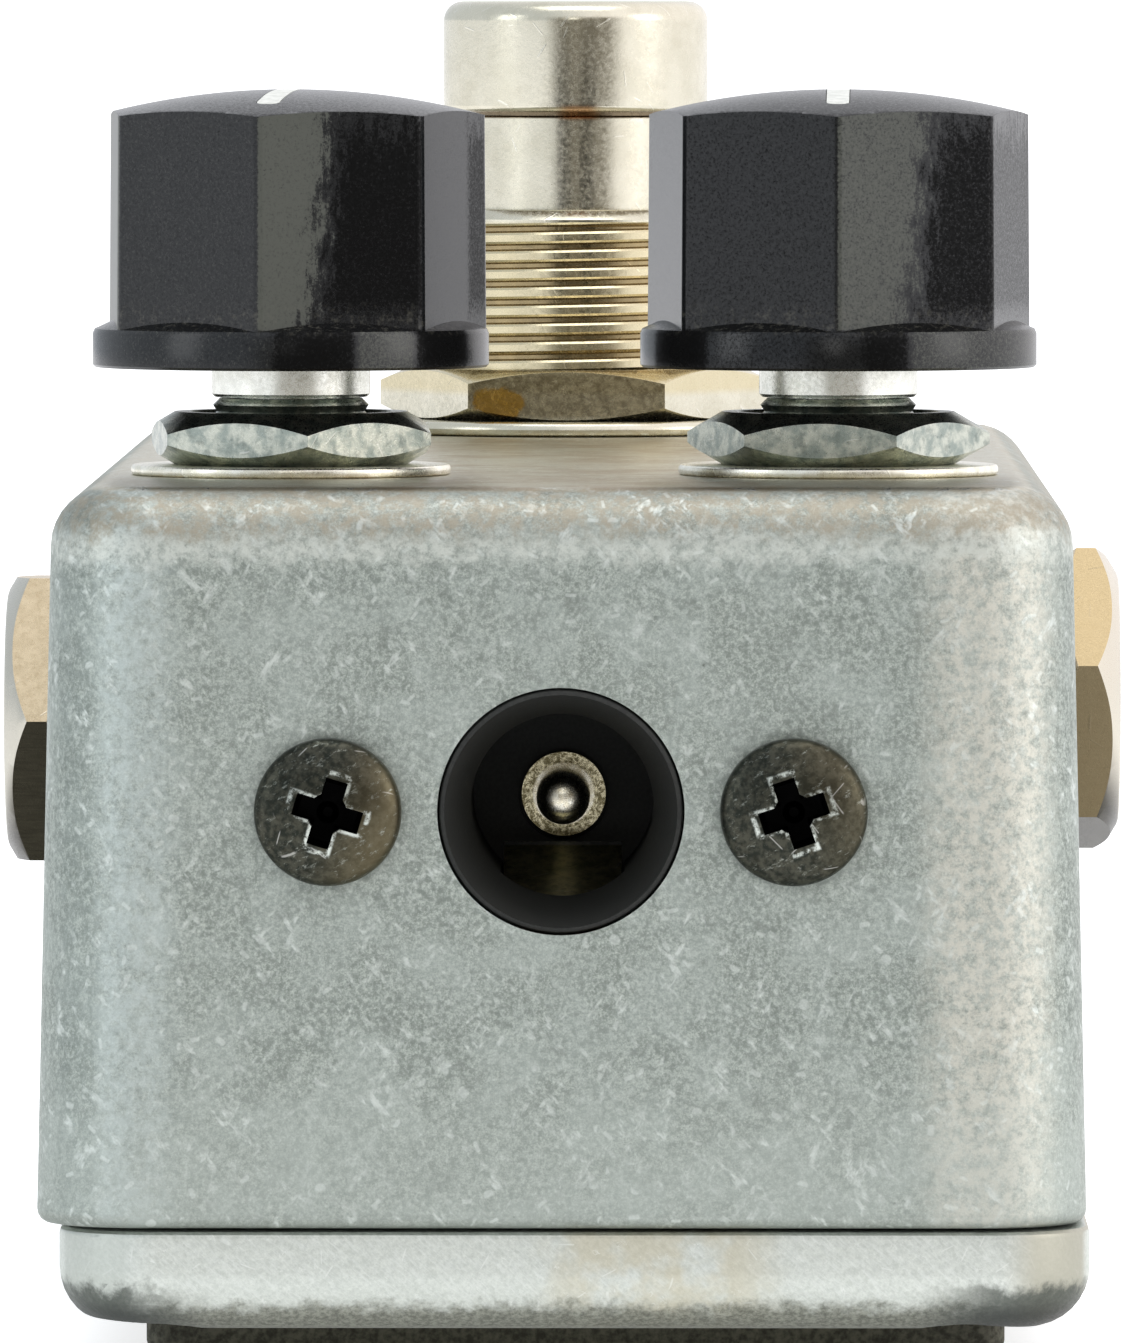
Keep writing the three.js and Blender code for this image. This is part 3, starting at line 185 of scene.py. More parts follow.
def turned(name, profile, sides=ROUND, open_ends=False):
    """A piece turned about Z: a circle that is extruded and scaled from point to point of a profile
    of (radius, height). With open ends the profile comes back to its start and leaves a bore."""
    bpy.ops.object.select_all(action="DESELECT")
    radius, height = profile[0]
    fill = "NOTHING" if open_ends else "NGON"
    bpy.ops.mesh.primitive_circle_add(
        vertices=sides, radius=radius, fill_type=fill, location=(0, 0, height)
    )
    piece = begun(name)
    bpy.ops.object.mode_set(mode="EDIT")
    bpy.ops.mesh.select_mode(type="VERT")
    bpy.ops.mesh.select_all(action="SELECT")
    for next_radius, next_height in profile[1:]:
        lift = (0, 0, next_height - height)
        bpy.ops.mesh.extrude_region_move(TRANSFORM_OT_translate={"value": lift})
        spread = next_radius / radius
        bpy.ops.transform.resize(value=(spread, spread, 1), center_override=(0, 0, next_height))
        radius, height = next_radius, next_height
    bpy.ops.mesh.select_all(action="SELECT")
    bpy.ops.mesh.remove_doubles(threshold=0.0005 * MM)
    bpy.ops.mesh.normals_make_consistent(inside=False)
    shaped()
    return settle(piece)


def rod(name, radius, bottom, top, sides=ROUND):
    return turned(name, [(radius, bottom), (radius, top)], sides)


def ring(name, outer, inner, bottom, top, sides=ROUND):
    profile = [(inner, bottom), (outer, bottom), (outer, top), (inner, top), (inner, bottom)]
    return turned(name, profile, sides, open_ends=True)


def block(name, low, high):
    low, high = Vector(low), Vector(high)
    bpy.ops.object.select_all(action="DESELECT")
    bpy.ops.mesh.primitive_cube_add(size=1, location=(low + high) / 2)
    piece = begun(name)
    piece.scale = high - low
    return settle(piece)


def turned_block(name, half_width, half_depth, bottom, top):
    """A block that stands in the middle of the axis that round pieces are turned about."""
    return block(name, (-half_width, -half_depth, bottom), (half_width, half_depth, top))


def prism(name, corners, reach, bottom, top, turn=0):
    """An upright prism with one corner at -Y before it is turned."""
    bpy.ops.object.select_all(action="DESELECT")
    bpy.ops.mesh.primitive_cylinder_add(
        vertices=corners,
        radius=reach,
        depth=top - bottom,
        location=(0, 0, (bottom + top) / 2),
        rotation=(0, 0, math.pi + turn),
    )
    return settle(begun(name))


def combine(piece, tool, how):
    """Joins, cuts or intersects a piece with a closed tool, and clears the tool away."""
    pick(piece)
    change = piece.modifiers.new(how.lower(), "BOOLEAN")
    change.operation = how
    change.solver = "EXACT"
    change.object = tool
    bpy.ops.object.modifier_apply(modifier=change.name)
    bpy.data.objects.remove(tool)
    return piece


def cut(piece, *tools):
    for tool in tools:
        combine(piece, tool, "DIFFERENCE")
    return piece


def join(piece, *tools):
    for tool in tools:
        combine(piece, tool, "UNION")
    return piece


def eased(piece, width, segments=3, angle=32):
    """Rounds each edge that is sharper than the angle."""
    pick(piece)
    change = piece.modifiers.new("eased", "BEVEL")
    change.width = width
    change.segments = segments
    change.limit_method = "ANGLE"
    change.angle_limit = math.radians(angle)
    change.use_clamp_overlap = True
    bpy.ops.object.modifier_apply(modifier=change.name)
    return piece


def smooth(piece, angle=34):
    """Shades a piece smooth up to an angle, with its large faces kept flat to the eye."""
    pick(piece)
    bpy.ops.object.shade_smooth_by_angle(angle=math.radians(angle))
    change = piece.modifiers.new("flat faces", "WEIGHTED_NORMAL")
    change.keep_sharp = True
    change.weight = 60
    bpy.ops.object.modifier_apply(modifier=change.name)
    return piece


def copied(piece, name, move=(0, 0, 0), turn=(0, 0, 0)):
    """A copy with its own mesh, turned about the origin and then moved."""
    pick(piece)
    bpy.ops.object.duplicate(linked=False)
    return settle(begun(name), move, turn)


def drill(piece, radius, bottom, top, places, sides=ROUND):
    """Cuts an upright round hole at each place."""
    for place in places:
        cut(piece, settle(rod("drill", radius, bottom, top, sides), (place[0], place[1], 0)))
    return piece


def arc(radius, steps):
    """Inset and rise along a quarter round, from the flank up to the flat."""
    turns = [QUARTER * i / steps for i in range(steps + 1)]
    return [(radius * (1 - math.cos(turn)), radius * math.sin(turn)) for turn in turns]


# Finishes: every pattern reads Object coordinates, counted in millimetres

def colour(red, green, blue):
    """A linear colour from the 0 to 255 steps that a picture shows."""
    def linear(step):
        share = step / 255
        return share / 12.92 if share <= 0.04045 else ((share + 0.055) / 1.055) ** 2.4
    return (linear(red), linear(green), linear(blue), 1)


class Finish:
    """A surface: one Principled shader and the patterns that feed it."""

    def __init__(self, name, base, roughness, metallic=0.0):
        self.material = bpy.data.materials.new(name)
        self.material.use_nodes = True
        self.tree = self.material.node_tree
        self.shader = self.tree.nodes["Principled BSDF"]
        self.shader.inputs["Base Color"].default_value = base
        self.shader.inputs["Roughness"].default_value = roughness
        self.shader.inputs["Metallic"].default_value = metallic
        coordinates = self.add("ShaderNodeTexCoord")
        self.place = self.scaled(coordinates.outputs["Object"], (1000, 1000, 1000))
        self.height = None

    def add(self, kind, inputs=None, **settings):
        node = self.tree.nodes.new(kind)
        for setting, value in settings.items():
            setattr(node, setting, value)
        for socket, value in (inputs or {}).items():
            self.feed(node.inputs[socket], value)
        return node

    def feed(self, socket, value):
        if isinstance(value, bpy.types.NodeSocket):
            self.tree.links.new(value, socket)
        else:
            socket.default_value = value

    def set(self, socket, value):
        self.feed(self.shader.inputs[socket], value)

    def scaled(self, vector, factors, turn=(0, 0, 0), shift=(0, 0, 0)):
        inputs = {"Vector": vector, "Scale": factors, "Rotation": turn, "Location": shift}
        return self.add("ShaderNodeMapping", inputs).outputs["Vector"]

    def math(self, operation, first, second=0.0):
        inputs = {0: first, 1: second}
        return self.add("ShaderNodeMath", inputs, operation=operation).outputs["Value"]

    def times(self, value, *factors):
        for factor in factors:
            value = self.math("MULTIPLY", value, factor)
        return value

    def most(self, value, *others):
        for other in others:
            value = self.math("MAXIMUM", value, other)
        return value

    def plus(self, first, second):
        return self.math("ADD", first, second)

    def less(self, first, second):
        return self.math("SUBTRACT", first, second)

    def absolute(self, value):
        return self.math("ABSOLUTE", value)

    def apart(self, first, second):
        """How far a point is from an axis, from its two distances at right angles."""
        squares = self.math("POWER", first, 2), self.math("POWER", second, 2)
        return self.math("SQRT", self.plus(*squares))

    def waver(self, size, *pattern):
        """A cloud pattern that wavers about 0, made larger by a factor."""
        return self.times(self.less(self.noise(*pattern), 0.5), size)

    def shade(self, share, first, second):
        """A colour between two tints."""
        return self.mix(share, colour(*first), colour(*second))

    def coat(self, under, tint, *shares):
        """A colour laid over another one, where the shares multiply."""
        return self.mix(self.times(*shares), under, colour(*tint))

    def vector(self, operation, first, second=(0, 0, 0), result="Vector"):
        node = self.add("ShaderNodeVectorMath", {0: first, 1: second}, operation=operation)
        return node.outputs[result]

    def noise(self, scale, detail=2, roughness=0.5, where=None, distortion=0.0):
        """Clouds with features of about 1 / scale millimetres."""
        inputs = {
            "Vector": where or self.place,
            "Scale": scale,
            "Detail": detail,
            "Roughness": roughness,
            "Distortion": distortion,
        }
        return self.add("ShaderNodeTexNoise", inputs).outputs["Fac"]

    def spread(self, value, low, high, to_low=0.0, to_high=1.0):
        """Stretches the part of a pattern between low and high, with soft ends."""
        inputs = {
            "Value": value,
            "From Min": low,
            "From Max": high,
            "To Min": to_low,
            "To Max": to_high,
        }
        node = self.add("ShaderNodeMapRange", inputs, interpolation_type="SMOOTHSTEP")
        return node.outputs["Result"]

    def mix(self, share, first, second):
        node = self.add("ShaderNodeMix", data_type="RGBA")
        node.clamp_factor = True
        self.feed(node.inputs["Factor"], share)
        self.feed(node.inputs[6], first)
        self.feed(node.inputs[7], second)
        return node.outputs[2]

    def scratches(self, scale, width, length, share, seed=0.0):
        """Short straight marks at random angles: one in each cell that the share lets through."""
        moved = self.vector("ADD", self.place, (seed, -seed, seed / 2))
        cells = self.add("ShaderNodeTexVoronoi", {"Vector": moved, "Scale": scale})
        centre = cells.outputs["Position"]
        offset = self.vector("SUBTRACT", moved, centre)
        lean = self.vector("SUBTRACT", cells.outputs["Color"], (0.5, 0.5, 0.5))
        lean = self.vector("NORMALIZE", lean)
        across = self.absolute(self.vector("DOT_PRODUCT", offset, lean, "Value"))
        along = self.vector("LENGTH", offset, result="Value")
        chance = self.add("ShaderNodeTexWhiteNoise", {"Vector": centre}).outputs["Value"]
        thin = self.spread(across, width, width / 3)
        short = self.spread(along, length, length * 0.7)
        present = self.math("LESS_THAN", chance, share)
        return self.times(thin, short, present)

    def wisps(self, scale, width, cover):
        """Curved hair-thin marks: where a cloud pattern crosses its middle, in patches only."""
        cloud = self.noise(scale, 3, 0.6, distortion=0.6)
        near = self.absolute(self.less(cloud, 0.5))
        line = self.spread(near, width, width / 4)
        shifted = self.vector("ADD", self.place, (11.3, 5.7, 8.1))
        patch = self.spread(self.noise(scale * 1.4, 2, 0.5, shifted), cover, cover + 0.06)
        return self.times(line, patch)

    def parts(self):
        return self.add("ShaderNodeSeparateXYZ", {"Vector": self.place}).outputs

    def normal(self, axis="Z"):
        normal = self.add("ShaderNodeNewGeometry").outputs["Normal"]
        return self.add("ShaderNodeSeparateXYZ", {"Vector": normal}).outputs[axis]

    def facing(self, start, full, axis="Z"):
        """How far a face looks along an axis, or against it where the numbers fall."""
        return self.spread(self.normal(axis), start, full)

    def slanted(self, angle, factors, shift=(0, 0, 0)):
        """Places turned about Y, then drawn out along each axis whose factor is small."""
        turned_place = self.scaled(self.place, (1, 1, 1), (0, math.radians(angle), 0), shift)
        return self.scaled(turned_place, factors)

    def hump(self, value, start, full, last, end):
        return self.times(self.spread(value, start, full), self.spread(value, end, last))

    def choose(self, share, first, second):
        """A number between two numbers."""
        node = self.add("ShaderNodeMix", data_type="FLOAT")
        self.feed(node.inputs["Factor"], share)
        self.feed(node.inputs[2], first)
        self.feed(node.inputs[3], second)
        return node.outputs[0]

    def stretches(self, angle, wander, stops):
        """A level that changes at each angle, over so many degrees. Wide changes wander."""
        level = stops[0][1]
        for (edge, _, soft), (_, following, _) in zip(stops, stops[1:]):
            where = self.plus(angle, wander) if soft > 3 else angle
            level = self.choose(self.spread(where, edge - soft, edge + soft), level, following)
        return level

    def bump(self, height, distance, strength=1.0):
        """Raises the surface by a pattern of 0 to 1; several bumps build on each other."""
        inputs = {"Height": height, "Distance": distance * MM, "Strength": strength}
        if self.height is not None:
            inputs["Normal"] = self.height
        self.height = self.add("ShaderNodeBump", inputs).outputs["Normal"]
        self.set("Normal", self.height)


def cast_aluminium():
    """Tumbled die-cast metal: a fine mottled grain, pale slanting scuffs in clusters, dark
    blotches and pits, painted shade and highlights in upright bands at the corners, handling marks on
    the top edge with a painted highlight line below them, painted light low on the sides, painted shade
    at the foot and a painted brown reflection on the top face."""
    finish = Finish("cast_aluminium", colour(160, 167, 160), 0.5, 1.0)
    grain = finish.noise(4.6, 5, 0.75)
    fine = finish.noise(13, 3, 0.7)
    cloud = finish.noise(0.35, 4, 0.6)
    lean = finish.scaled(finish.place, (1, 1, 1), turn=(0.6, 0.5, 0.4), shift=(3, 7, 2))
    grey = finish.shade(finish.spread(grain, 0.36, 0.64), (136, 143, 136), (192, 199, 191))
    grey = finish.coat(grey, (134, 142, 136), finish.spread(fine, 0.36, 0.64, 0, 0.55))
    grey = finish.coat(grey, (186, 194, 188), finish.spread(cloud, 0.4, 0.65, 0, 0.4))
    blotches = finish.spread(finish.noise(0.9, 5, 0.7, lean), 0.56, 0.7, 0, 0.45)
    grey = finish.coat(grey, (126, 132, 126), blotches)
    pits = finish.spread(finish.noise(3.4, 3, 0.6, lean), 0.3, 0.2, 0, 0.7)
    grey = finish.coat(grey, (100, 104, 98), pits)

    scuffs = finish.noise(1.5, 3, 0.6, finish.slanted(-48, (0.7, 1, 1.6)))
    other_scuffs = finish.noise(1.5, 3, 0.6, finish.slanted(62, (0.65, 1, 1.6), (9, 4, 6)))
    clusters = finish.spread(finish.noise(0.55, 4, 0.7, lean), 0.42, 0.66, 0.12, 1)
    scuffs = finish.most(finish.spread(scuffs, 0.55, 0.7), finish.spread(other_scuffs, 0.56, 0.72))
    scuffs = finish.times(scuffs, clusters)
    hairs = finish.times(finish.wisps(1.6, 0.016, 0.54), 0.14)
    dashes = finish.times(finish.scratches(1.3, 0.09, 0.24, 0.4), 0.6)
    marks = finish.most(hairs, dashes, scuffs)

    parts = finish.parts()
    near_end = finish.spread(finish.absolute(parts["Y"]), 40, 43)
    band_mottle = finish.spread(finish.noise(2.2, 5, 0.8), 0.36, 0.62, 0.15, 0.9)
    # Painted shade and highlights in mottled upright bands: darker at the left corner, lighter just
    # inside it and at the right corner.
    for band, tint, share in (
        ((-19, -18.3, -17.5, -16.7), (122, 132, 128), 0.5),
        ((-17.5, -16.6, -15.2, -13.6), (196, 206, 203), 0.7),
        ((12.6, 14.8, 17.2, 18.7), (212, 210, 198), 1),
    ):
        grey = finish.coat(grey, tint, finish.hump(parts["X"], *band), near_end, band_mottle, share)

    # Painted light: paler towards the bottom of the sides.
    grey = finish.coat(grey, (190, 197, 190), finish.spread(parts["Z"], 13, 6.5, 0, 0.35))
    height = finish.plus(parts["Z"], finish.waver(2.2, 0.7, 5, 0.75))
    handled = finish.hump(height, 30.2, 31.1, 32, 32.6)
    patchy = finish.spread(finish.noise(1.6, 5, 0.75, lean), 0.36, 0.62, 0.15, 0.9)
    grey = finish.coat(grey, (170, 163, 146), handled, patchy)
    # A painted highlight line along the lower part of the top edge, below the handling marks.
    painted_highlight_line = finish.hump(height, 29.4, 30.1, 30.4, 31.1)
    grey = finish.coat(grey, (208, 212, 204), painted_highlight_line, band_mottle)
    # Painted shade: darker at the foot, just above the lid.
    grey = finish.coat(grey, (112, 116, 108), finish.spread(parts["Z"], 5.8, 5.3, 0, 0.4))
    # Painted reflection: a warm brown tint on the top face, browner in its middle front where the
    # footswitch nut is reflected.
    panel_face = finish.facing(0.9, 0.98)
    grey = finish.coat(grey, (206, 184, 138), panel_face, 0.32)
    across_middle = finish.spread(finish.absolute(parts["X"]), 15, 5)
    along_middle = finish.spread(parts["Y"], 28, 10)
    brown_reflection = finish.spread(finish.noise(0.32, 5, 0.7), 0.4, 0.62)
    brown_reflection = finish.times(brown_reflection, across_middle, along_middle, panel_face)
    grey = finish.coat(grey, (142, 118, 82), brown_reflection, 0.6)
    grey = finish.coat(grey, (226, 232, 227), marks, 0.62)
    finish.set("Base Color", grey)
    rough = finish.spread(fine, 0.25, 0.75, 0.44, 0.58)
    rough = finish.less(rough, finish.times(panel_face, 0.16))
    finish.set("Roughness", finish.less(rough, finish.times(marks, 0.1)))
    finish.bump(grain, 0.02, 0.6)
    finish.bump(fine, 0.012, 0.6)
    finish.bump(marks, 0.008, 0.6)
    return finish.material


def lid_aluminium():
    """The lid's paler casting, with fine slanting sanding marks, a brown patch at its front,
    painted shade on the faces turned right and left, and ragged painted shade on the rounded edge
    below."""
    finish = Finish("lid_aluminium", colour(205, 209, 202), 0.42, 1.0)
    grain = finish.noise(5, 5, 0.75)
    fine = finish.noise(13, 3, 0.7)
    sanding = finish.noise(3, 4, 0.7, finish.slanted(-42, (0.5, 1, 3.4)))
    grey = finish.shade(finish.spread(grain, 0.3, 0.7), (196, 201, 194), (222, 226, 219))
    grey = finish.coat(grey, (192, 197, 190), finish.spread(fine, 0.3, 0.7, 0, 0.35))
    grey = finish.coat(grey, (236, 239, 235), finish.spread(sanding, 0.42, 0.7, 0, 0.42))
    parts = finish.parts()
    near_front = finish.hump(parts["X"], -1.5, 1, 6, 9)
    stain = finish.times(near_front, finish.spread(finish.noise(0.5, 3, 0.6), 0.35, 0.6))
    grey = finish.coat(grey, (196, 184, 150), stain, 0.45)
    hairs = finish.wisps(1.6, 0.012, 0.56)
    marks = finish.most(hairs, finish.scratches(1.2, 0.035, 0.35, 0.3, seed=11.0))
    grey = finish.coat(grey, (240, 242, 238), marks, 0.4)
    # Painted shade: a darker warm tint on faces turned right, and a lighter darkening on faces turned
    # left.
    turned_right = finish.hump(finish.normal("X"), 0.08, 0.5, 0.9, 0.98)
    grey = finish.coat(grey, (168, 164, 146), turned_right, 0.75)
    turned_left = finish.hump(finish.normal("X"), -0.1, -0.5, -0.9, -0.98)
    grey = finish.coat(grey, (170, 176, 168), turned_left, 0.5)

    # Painted shade on the rounded edge below: darker where faces look down, reaching higher and darkest
    # at the corners, ragged at its edge.
    downwards = finish.plus(finish.normal(), finish.waver(0.8, 1.1, 5, 0.7))
    in_middle = finish.spread(downwards, -0.4, -0.72)
    at_corner = finish.spread(finish.absolute(parts["X"]), 12.6, 16.6)
    grime_and_shade = finish.choose(at_corner, in_middle, finish.spread(downwards, -0.12, -0.42))
    brown = finish.shade(finish.spread(grain, 0.35, 0.65), (104, 106, 96), (158, 160, 148))
    brown = finish.coat(brown, (74, 80, 76), at_corner, 0.85)
    brown = finish.coat(brown, (40, 44, 42), at_corner, finish.facing(-0.4, -0.8), 0.85)
    grey = finish.mix(finish.times(grime_and_shade, 0.9), grey, brown)
    finish.set("Base Color", grey)
    finish.set("Roughness", finish.spread(sanding, 0.3, 0.7, 0.36, 0.5))
    finish.bump(grain, 0.015, 0.5)
    finish.bump(sanding, 0.01, 0.5)
    return finish.material


def pad_rubber():
    # Painted light: the rubber's colour is lighter than black rubber, to brighten the pad in the shade
    # under the lid.
    finish = Finish("pad_rubber", colour(110, 108, 95), 0.85)
    grain = finish.noise(4, 3, 0.6)
    dark = finish.shade(finish.spread(grain, 0.3, 0.7), (82, 81, 70), (138, 136, 120))
    finish.set("Base Color", dark)
    finish.bump(grain, 0.06, 0.7)
    return finish.material


def knob_plastic():
    """Glossy black plastic with painted reflections. Some stretches round each knob are painted black
    with the reflection taken down, others carry a grey film that is partly dust and partly painted
    sheen, with smeared upright edges between them."""
    finish = Finish("knob_plastic", colour(22, 24, 25), 0.24)
    parts = finish.parts()
    fine = finish.noise(9, 3, 0.7)
    upright = finish.scaled(finish.place, (1, 1, 0.3))
    small = finish.less(finish.noise(3.5, 4, 0.7, upright), 0.5)
    wander = finish.plus(finish.waver(14, 0.45, 3, 0.6), finish.times(small, 26))
    wander = finish.less(wander, finish.times(finish.less(parts["Z"], knob_middle), 0.9))
    right_knob = finish.math("GREATER_THAN", parts["X"], 0)
    body = {}
    skirt = {}
    for side, place in pot_places.items():
        offset = finish.less(parts["X"], place.x / MM)
        forward = finish.less(place.y / MM, parts["Y"])
        angle = finish.times(finish.math("ARCTAN2", offset, forward), 180 / math.pi)
        body[side] = finish.stretches(angle, wander, knob_dust_and_reflection[side])
        skirt[side] = finish.stretches(angle, wander, skirt_dust_and_reflection[side])
    on_body = finish.choose(right_knob, body["left"], body["right"])
    on_skirt = finish.choose(right_knob, skirt["left"], skirt["right"])
    above_skirt = finish.spread(parts["Z"], *skirt_end)
    dust_and_reflection = finish.choose(above_skirt, on_skirt, on_body)
    # Painted sheen on the dome, paler on the left knob than on the right.
    on_dome = finish.choose(right_knob, 0.16, 0.05)
    # Painted sheen: the film rises towards the top and the foot of the flanks, above the skirt.
    ragged = finish.plus(parts["Z"], finish.times(small, 6))
    faded_top = finish.spread(ragged, *knob_top_fade, 0, 0.42)
    faded_foot = finish.spread(parts["Z"], *knob_foot_fade, 0, 0.34)
    fading = finish.times(finish.most(faded_top, faded_foot), above_skirt)
    dust_and_reflection = finish.most(dust_and_reflection, fading)
    dust_and_reflection = finish.choose(finish.facing(0.4, 0.7), dust_and_reflection, on_dome)
    dust_and_reflection = finish.plus(dust_and_reflection, finish.waver(1.3, 9, 3, 0.85))
    dust = finish.spread(finish.noise(4, 4, 0.7), 0.5, 0.7)
    dust = finish.times(finish.hump(parts["Z"], *knob_dust), dust)
    # Painted reflection: near black where the level is low, and grey sheen with dust where it is high.
    painted_dark_reflection = finish.shade(finish.spread(dust_and_reflection, 0, 0.5), (19, 19, 19), (20, 22, 24))
    black = finish.mix(finish.spread(dust_and_reflection, 0.5, 1), painted_dark_reflection, colour(82, 84, 77))
    black = finish.coat(black, (110, 108, 98), dust, 0.3)
    finish.set("Base Color", black)
    finish.set("Specular IOR Level", finish.spread(dust_and_reflection, 0, 0.5, 0.05, 0.46))
    finish.set("Roughness", finish.spread(dust_and_reflection, 0.4, 1, 0.2, 0.34))
    finish.bump(fine, 0.004, 0.5)
    return finish.material


def plain_coat(name, dark, light, roughness, metallic=0, scale=3, shine=0.5):
    """A finish with a light mottle, for the pieces inside and for small trim."""
    finish = Finish(name, light, roughness, metallic)
    grain = finish.noise(scale, 3, 0.6)
    finish.set("Base Color", finish.mix(finish.spread(grain, 0.3, 0.7), dark, light))
    finish.set("Specular IOR Level", shine)
    finish.set("Roughness", finish.spread(grain, 0.2, 0.8, roughness - 0.06, roughness + 0.06))
    finish.bump(grain, 0.01, 0.4)
    return finish.material


def worn_metal(
    name, dark, light, grime_and_shade, roughness, scale=1.2, grime_share=0.4, trim=None, bump=0.006
):
    """Plated metal with cloudy colour, grime in blotches and fine scratches. Trim is a plain
    function that adds what only this metal has."""
    finish = Finish(name, light, roughness, 1.0)
    cloud = finish.noise(scale, 3, 0.6)
    fine = finish.noise(scale * 9, 2, 0.6)
    metal = finish.mix(finish.spread(cloud, 0.35, 0.65), dark, light)
    dirt = finish.spread(finish.noise(scale * 1.7, 3, 0.65), 0.5, 0.68)
    metal = finish.mix(finish.times(dirt, grime_share), metal, grime_and_shade)
    marks = finish.scratches(1.1, 0.03, 0.4, 0.4, seed=5.0)
    metal = finish.coat(metal, (245, 244, 238), marks, 0.3)
    if trim:
        metal = trim(finish, metal)
    finish.set("Base Color", metal)
    finish.set("Roughness", finish.spread(fine, 0.25, 0.75, roughness - 0.06, roughness + 0.08))
    finish.bump(fine, bump, 0.5)
    finish.bump(marks, bump, 0.5)
    return finish.material


def thread_grime(finish, metal):
    """Old brown grease in the roots of the footswitch's thread and in the groove under its cap,
    and a golden patch on the nut's front."""
    parts = finish.parts()
    forward = finish.less(parts["Y"], switch_place.y / MM)
    reach = finish.apart(parts["X"], forward)
    root = finish.hump(reach, 5.4, 5.5, 5.8, 5.93)
    outside = finish.spread(reach, 5.4, 5.5)
    on_thread = finish.times(outside, finish.hump(parts["Z"], *thread_levels))
    brown = finish.shade(finish.noise(1.5, 3, 0.6), (98, 78, 46), (170, 148, 104))
    metal = finish.coat(metal, (212, 196, 152), on_thread, 0.6)
    metal = finish.mix(finish.times(root, on_thread, 0.8), metal, brown)
    low, high = (corner.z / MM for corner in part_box("footswitch_nut"))
    on_nut = finish.hump(parts["Z"], low, low + 0.3, high - 0.3, high)
    on_nut = finish.times(on_nut, finish.facing(-0.9, -0.98, "Y"))
    cloud = finish.spread(finish.noise(2.6, 5, 0.8), 0.4, 0.6)
    dull = finish.shade(cloud, (124, 110, 80), (196, 184, 152))
    metal = finish.mix(finish.times(on_nut, 0.75), metal, dull)
    metal = finish.coat(metal, (104, 84, 54), finish.hump(parts["Z"], *groove_levels), 0.85)
    spot = finish.hump(parts["Z"], *groove_spot_levels)
    spot = finish.times(spot, finish.hump(parts["X"], -0.9, -0.2, 0.5, 1.2))
    metal = finish.coat(metal, (176, 122, 70), spot, 0.7)
    from_patch = finish.vector("SUBTRACT", finish.place, amber_patch)
    from_patch = finish.scaled(from_patch, (1, 1, 1.7))
    distance = finish.vector("LENGTH", from_patch, result="Value")
    distance = finish.plus(distance, finish.times(finish.noise(1.4, 4, 0.7), 1.4))
    amber = finish.shade(finish.noise(2.5, 3, 0.6), (150, 108, 36), (222, 176, 74))
    return finish.mix(finish.spread(distance, 1.95, 1.65, 0, 0.85), metal, amber)


def shaded_below(finish, metal):
    """Painted shade on faces that look down, the right nut painted darker as shade, and a paler
    turned chamfer at each outer end."""
    outwards = finish.absolute(finish.normal("X"))
    # The right nut is painted darker, as painted shade.
    right = finish.spread(finish.parts()["X"], -1, 1, 0, 0.9)
    metal = finish.coat(metal, (158, 140, 106), right)
    chamfer = finish.shade(right, (198, 197, 188), (226, 220, 206))
    metal = finish.mix(finish.spread(outwards, 0.2, 0.5, 0, 0.85), metal, chamfer)
    # Painted shade on the faces that look down.
    lines = finish.noise(3, 2, 0.5, finish.scaled(finish.place, (0.3, 0.3, 4)))
    painted_shade_below = finish.shade(lines, (44, 41, 34), (74, 70, 58))
    return finish.mix(finish.facing(-0.12, -0.44), metal, painted_shade_below)


def bend_highlight(finish, metal):
    """A painted highlight along the top of the power socket's leaf."""
    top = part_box("dc_jack_leaf")[1].z / MM
    along_top = finish.spread(finish.parts()["Z"], top - 0.14, top - 0.05)
    return finish.coat(metal, (244, 244, 236), along_top)


def worn_ring(finish, metal):
    """Speckled brass on the wide foot of the power socket's pin."""
    parts = finish.parts()
    right = finish.less(parts["X"], socket_place.x / MM)
    reach = finish.apart(right, finish.less(parts["Z"], socket_place.z / MM))
    speckle = finish.spread(finish.noise(6, 4, 0.8), 0.42, 0.6)
    brass = finish.shade(speckle, (112, 104, 76), (226, 218, 186))
    return finish.mix(finish.spread(reach, 1.1, 1.2), metal, brass)


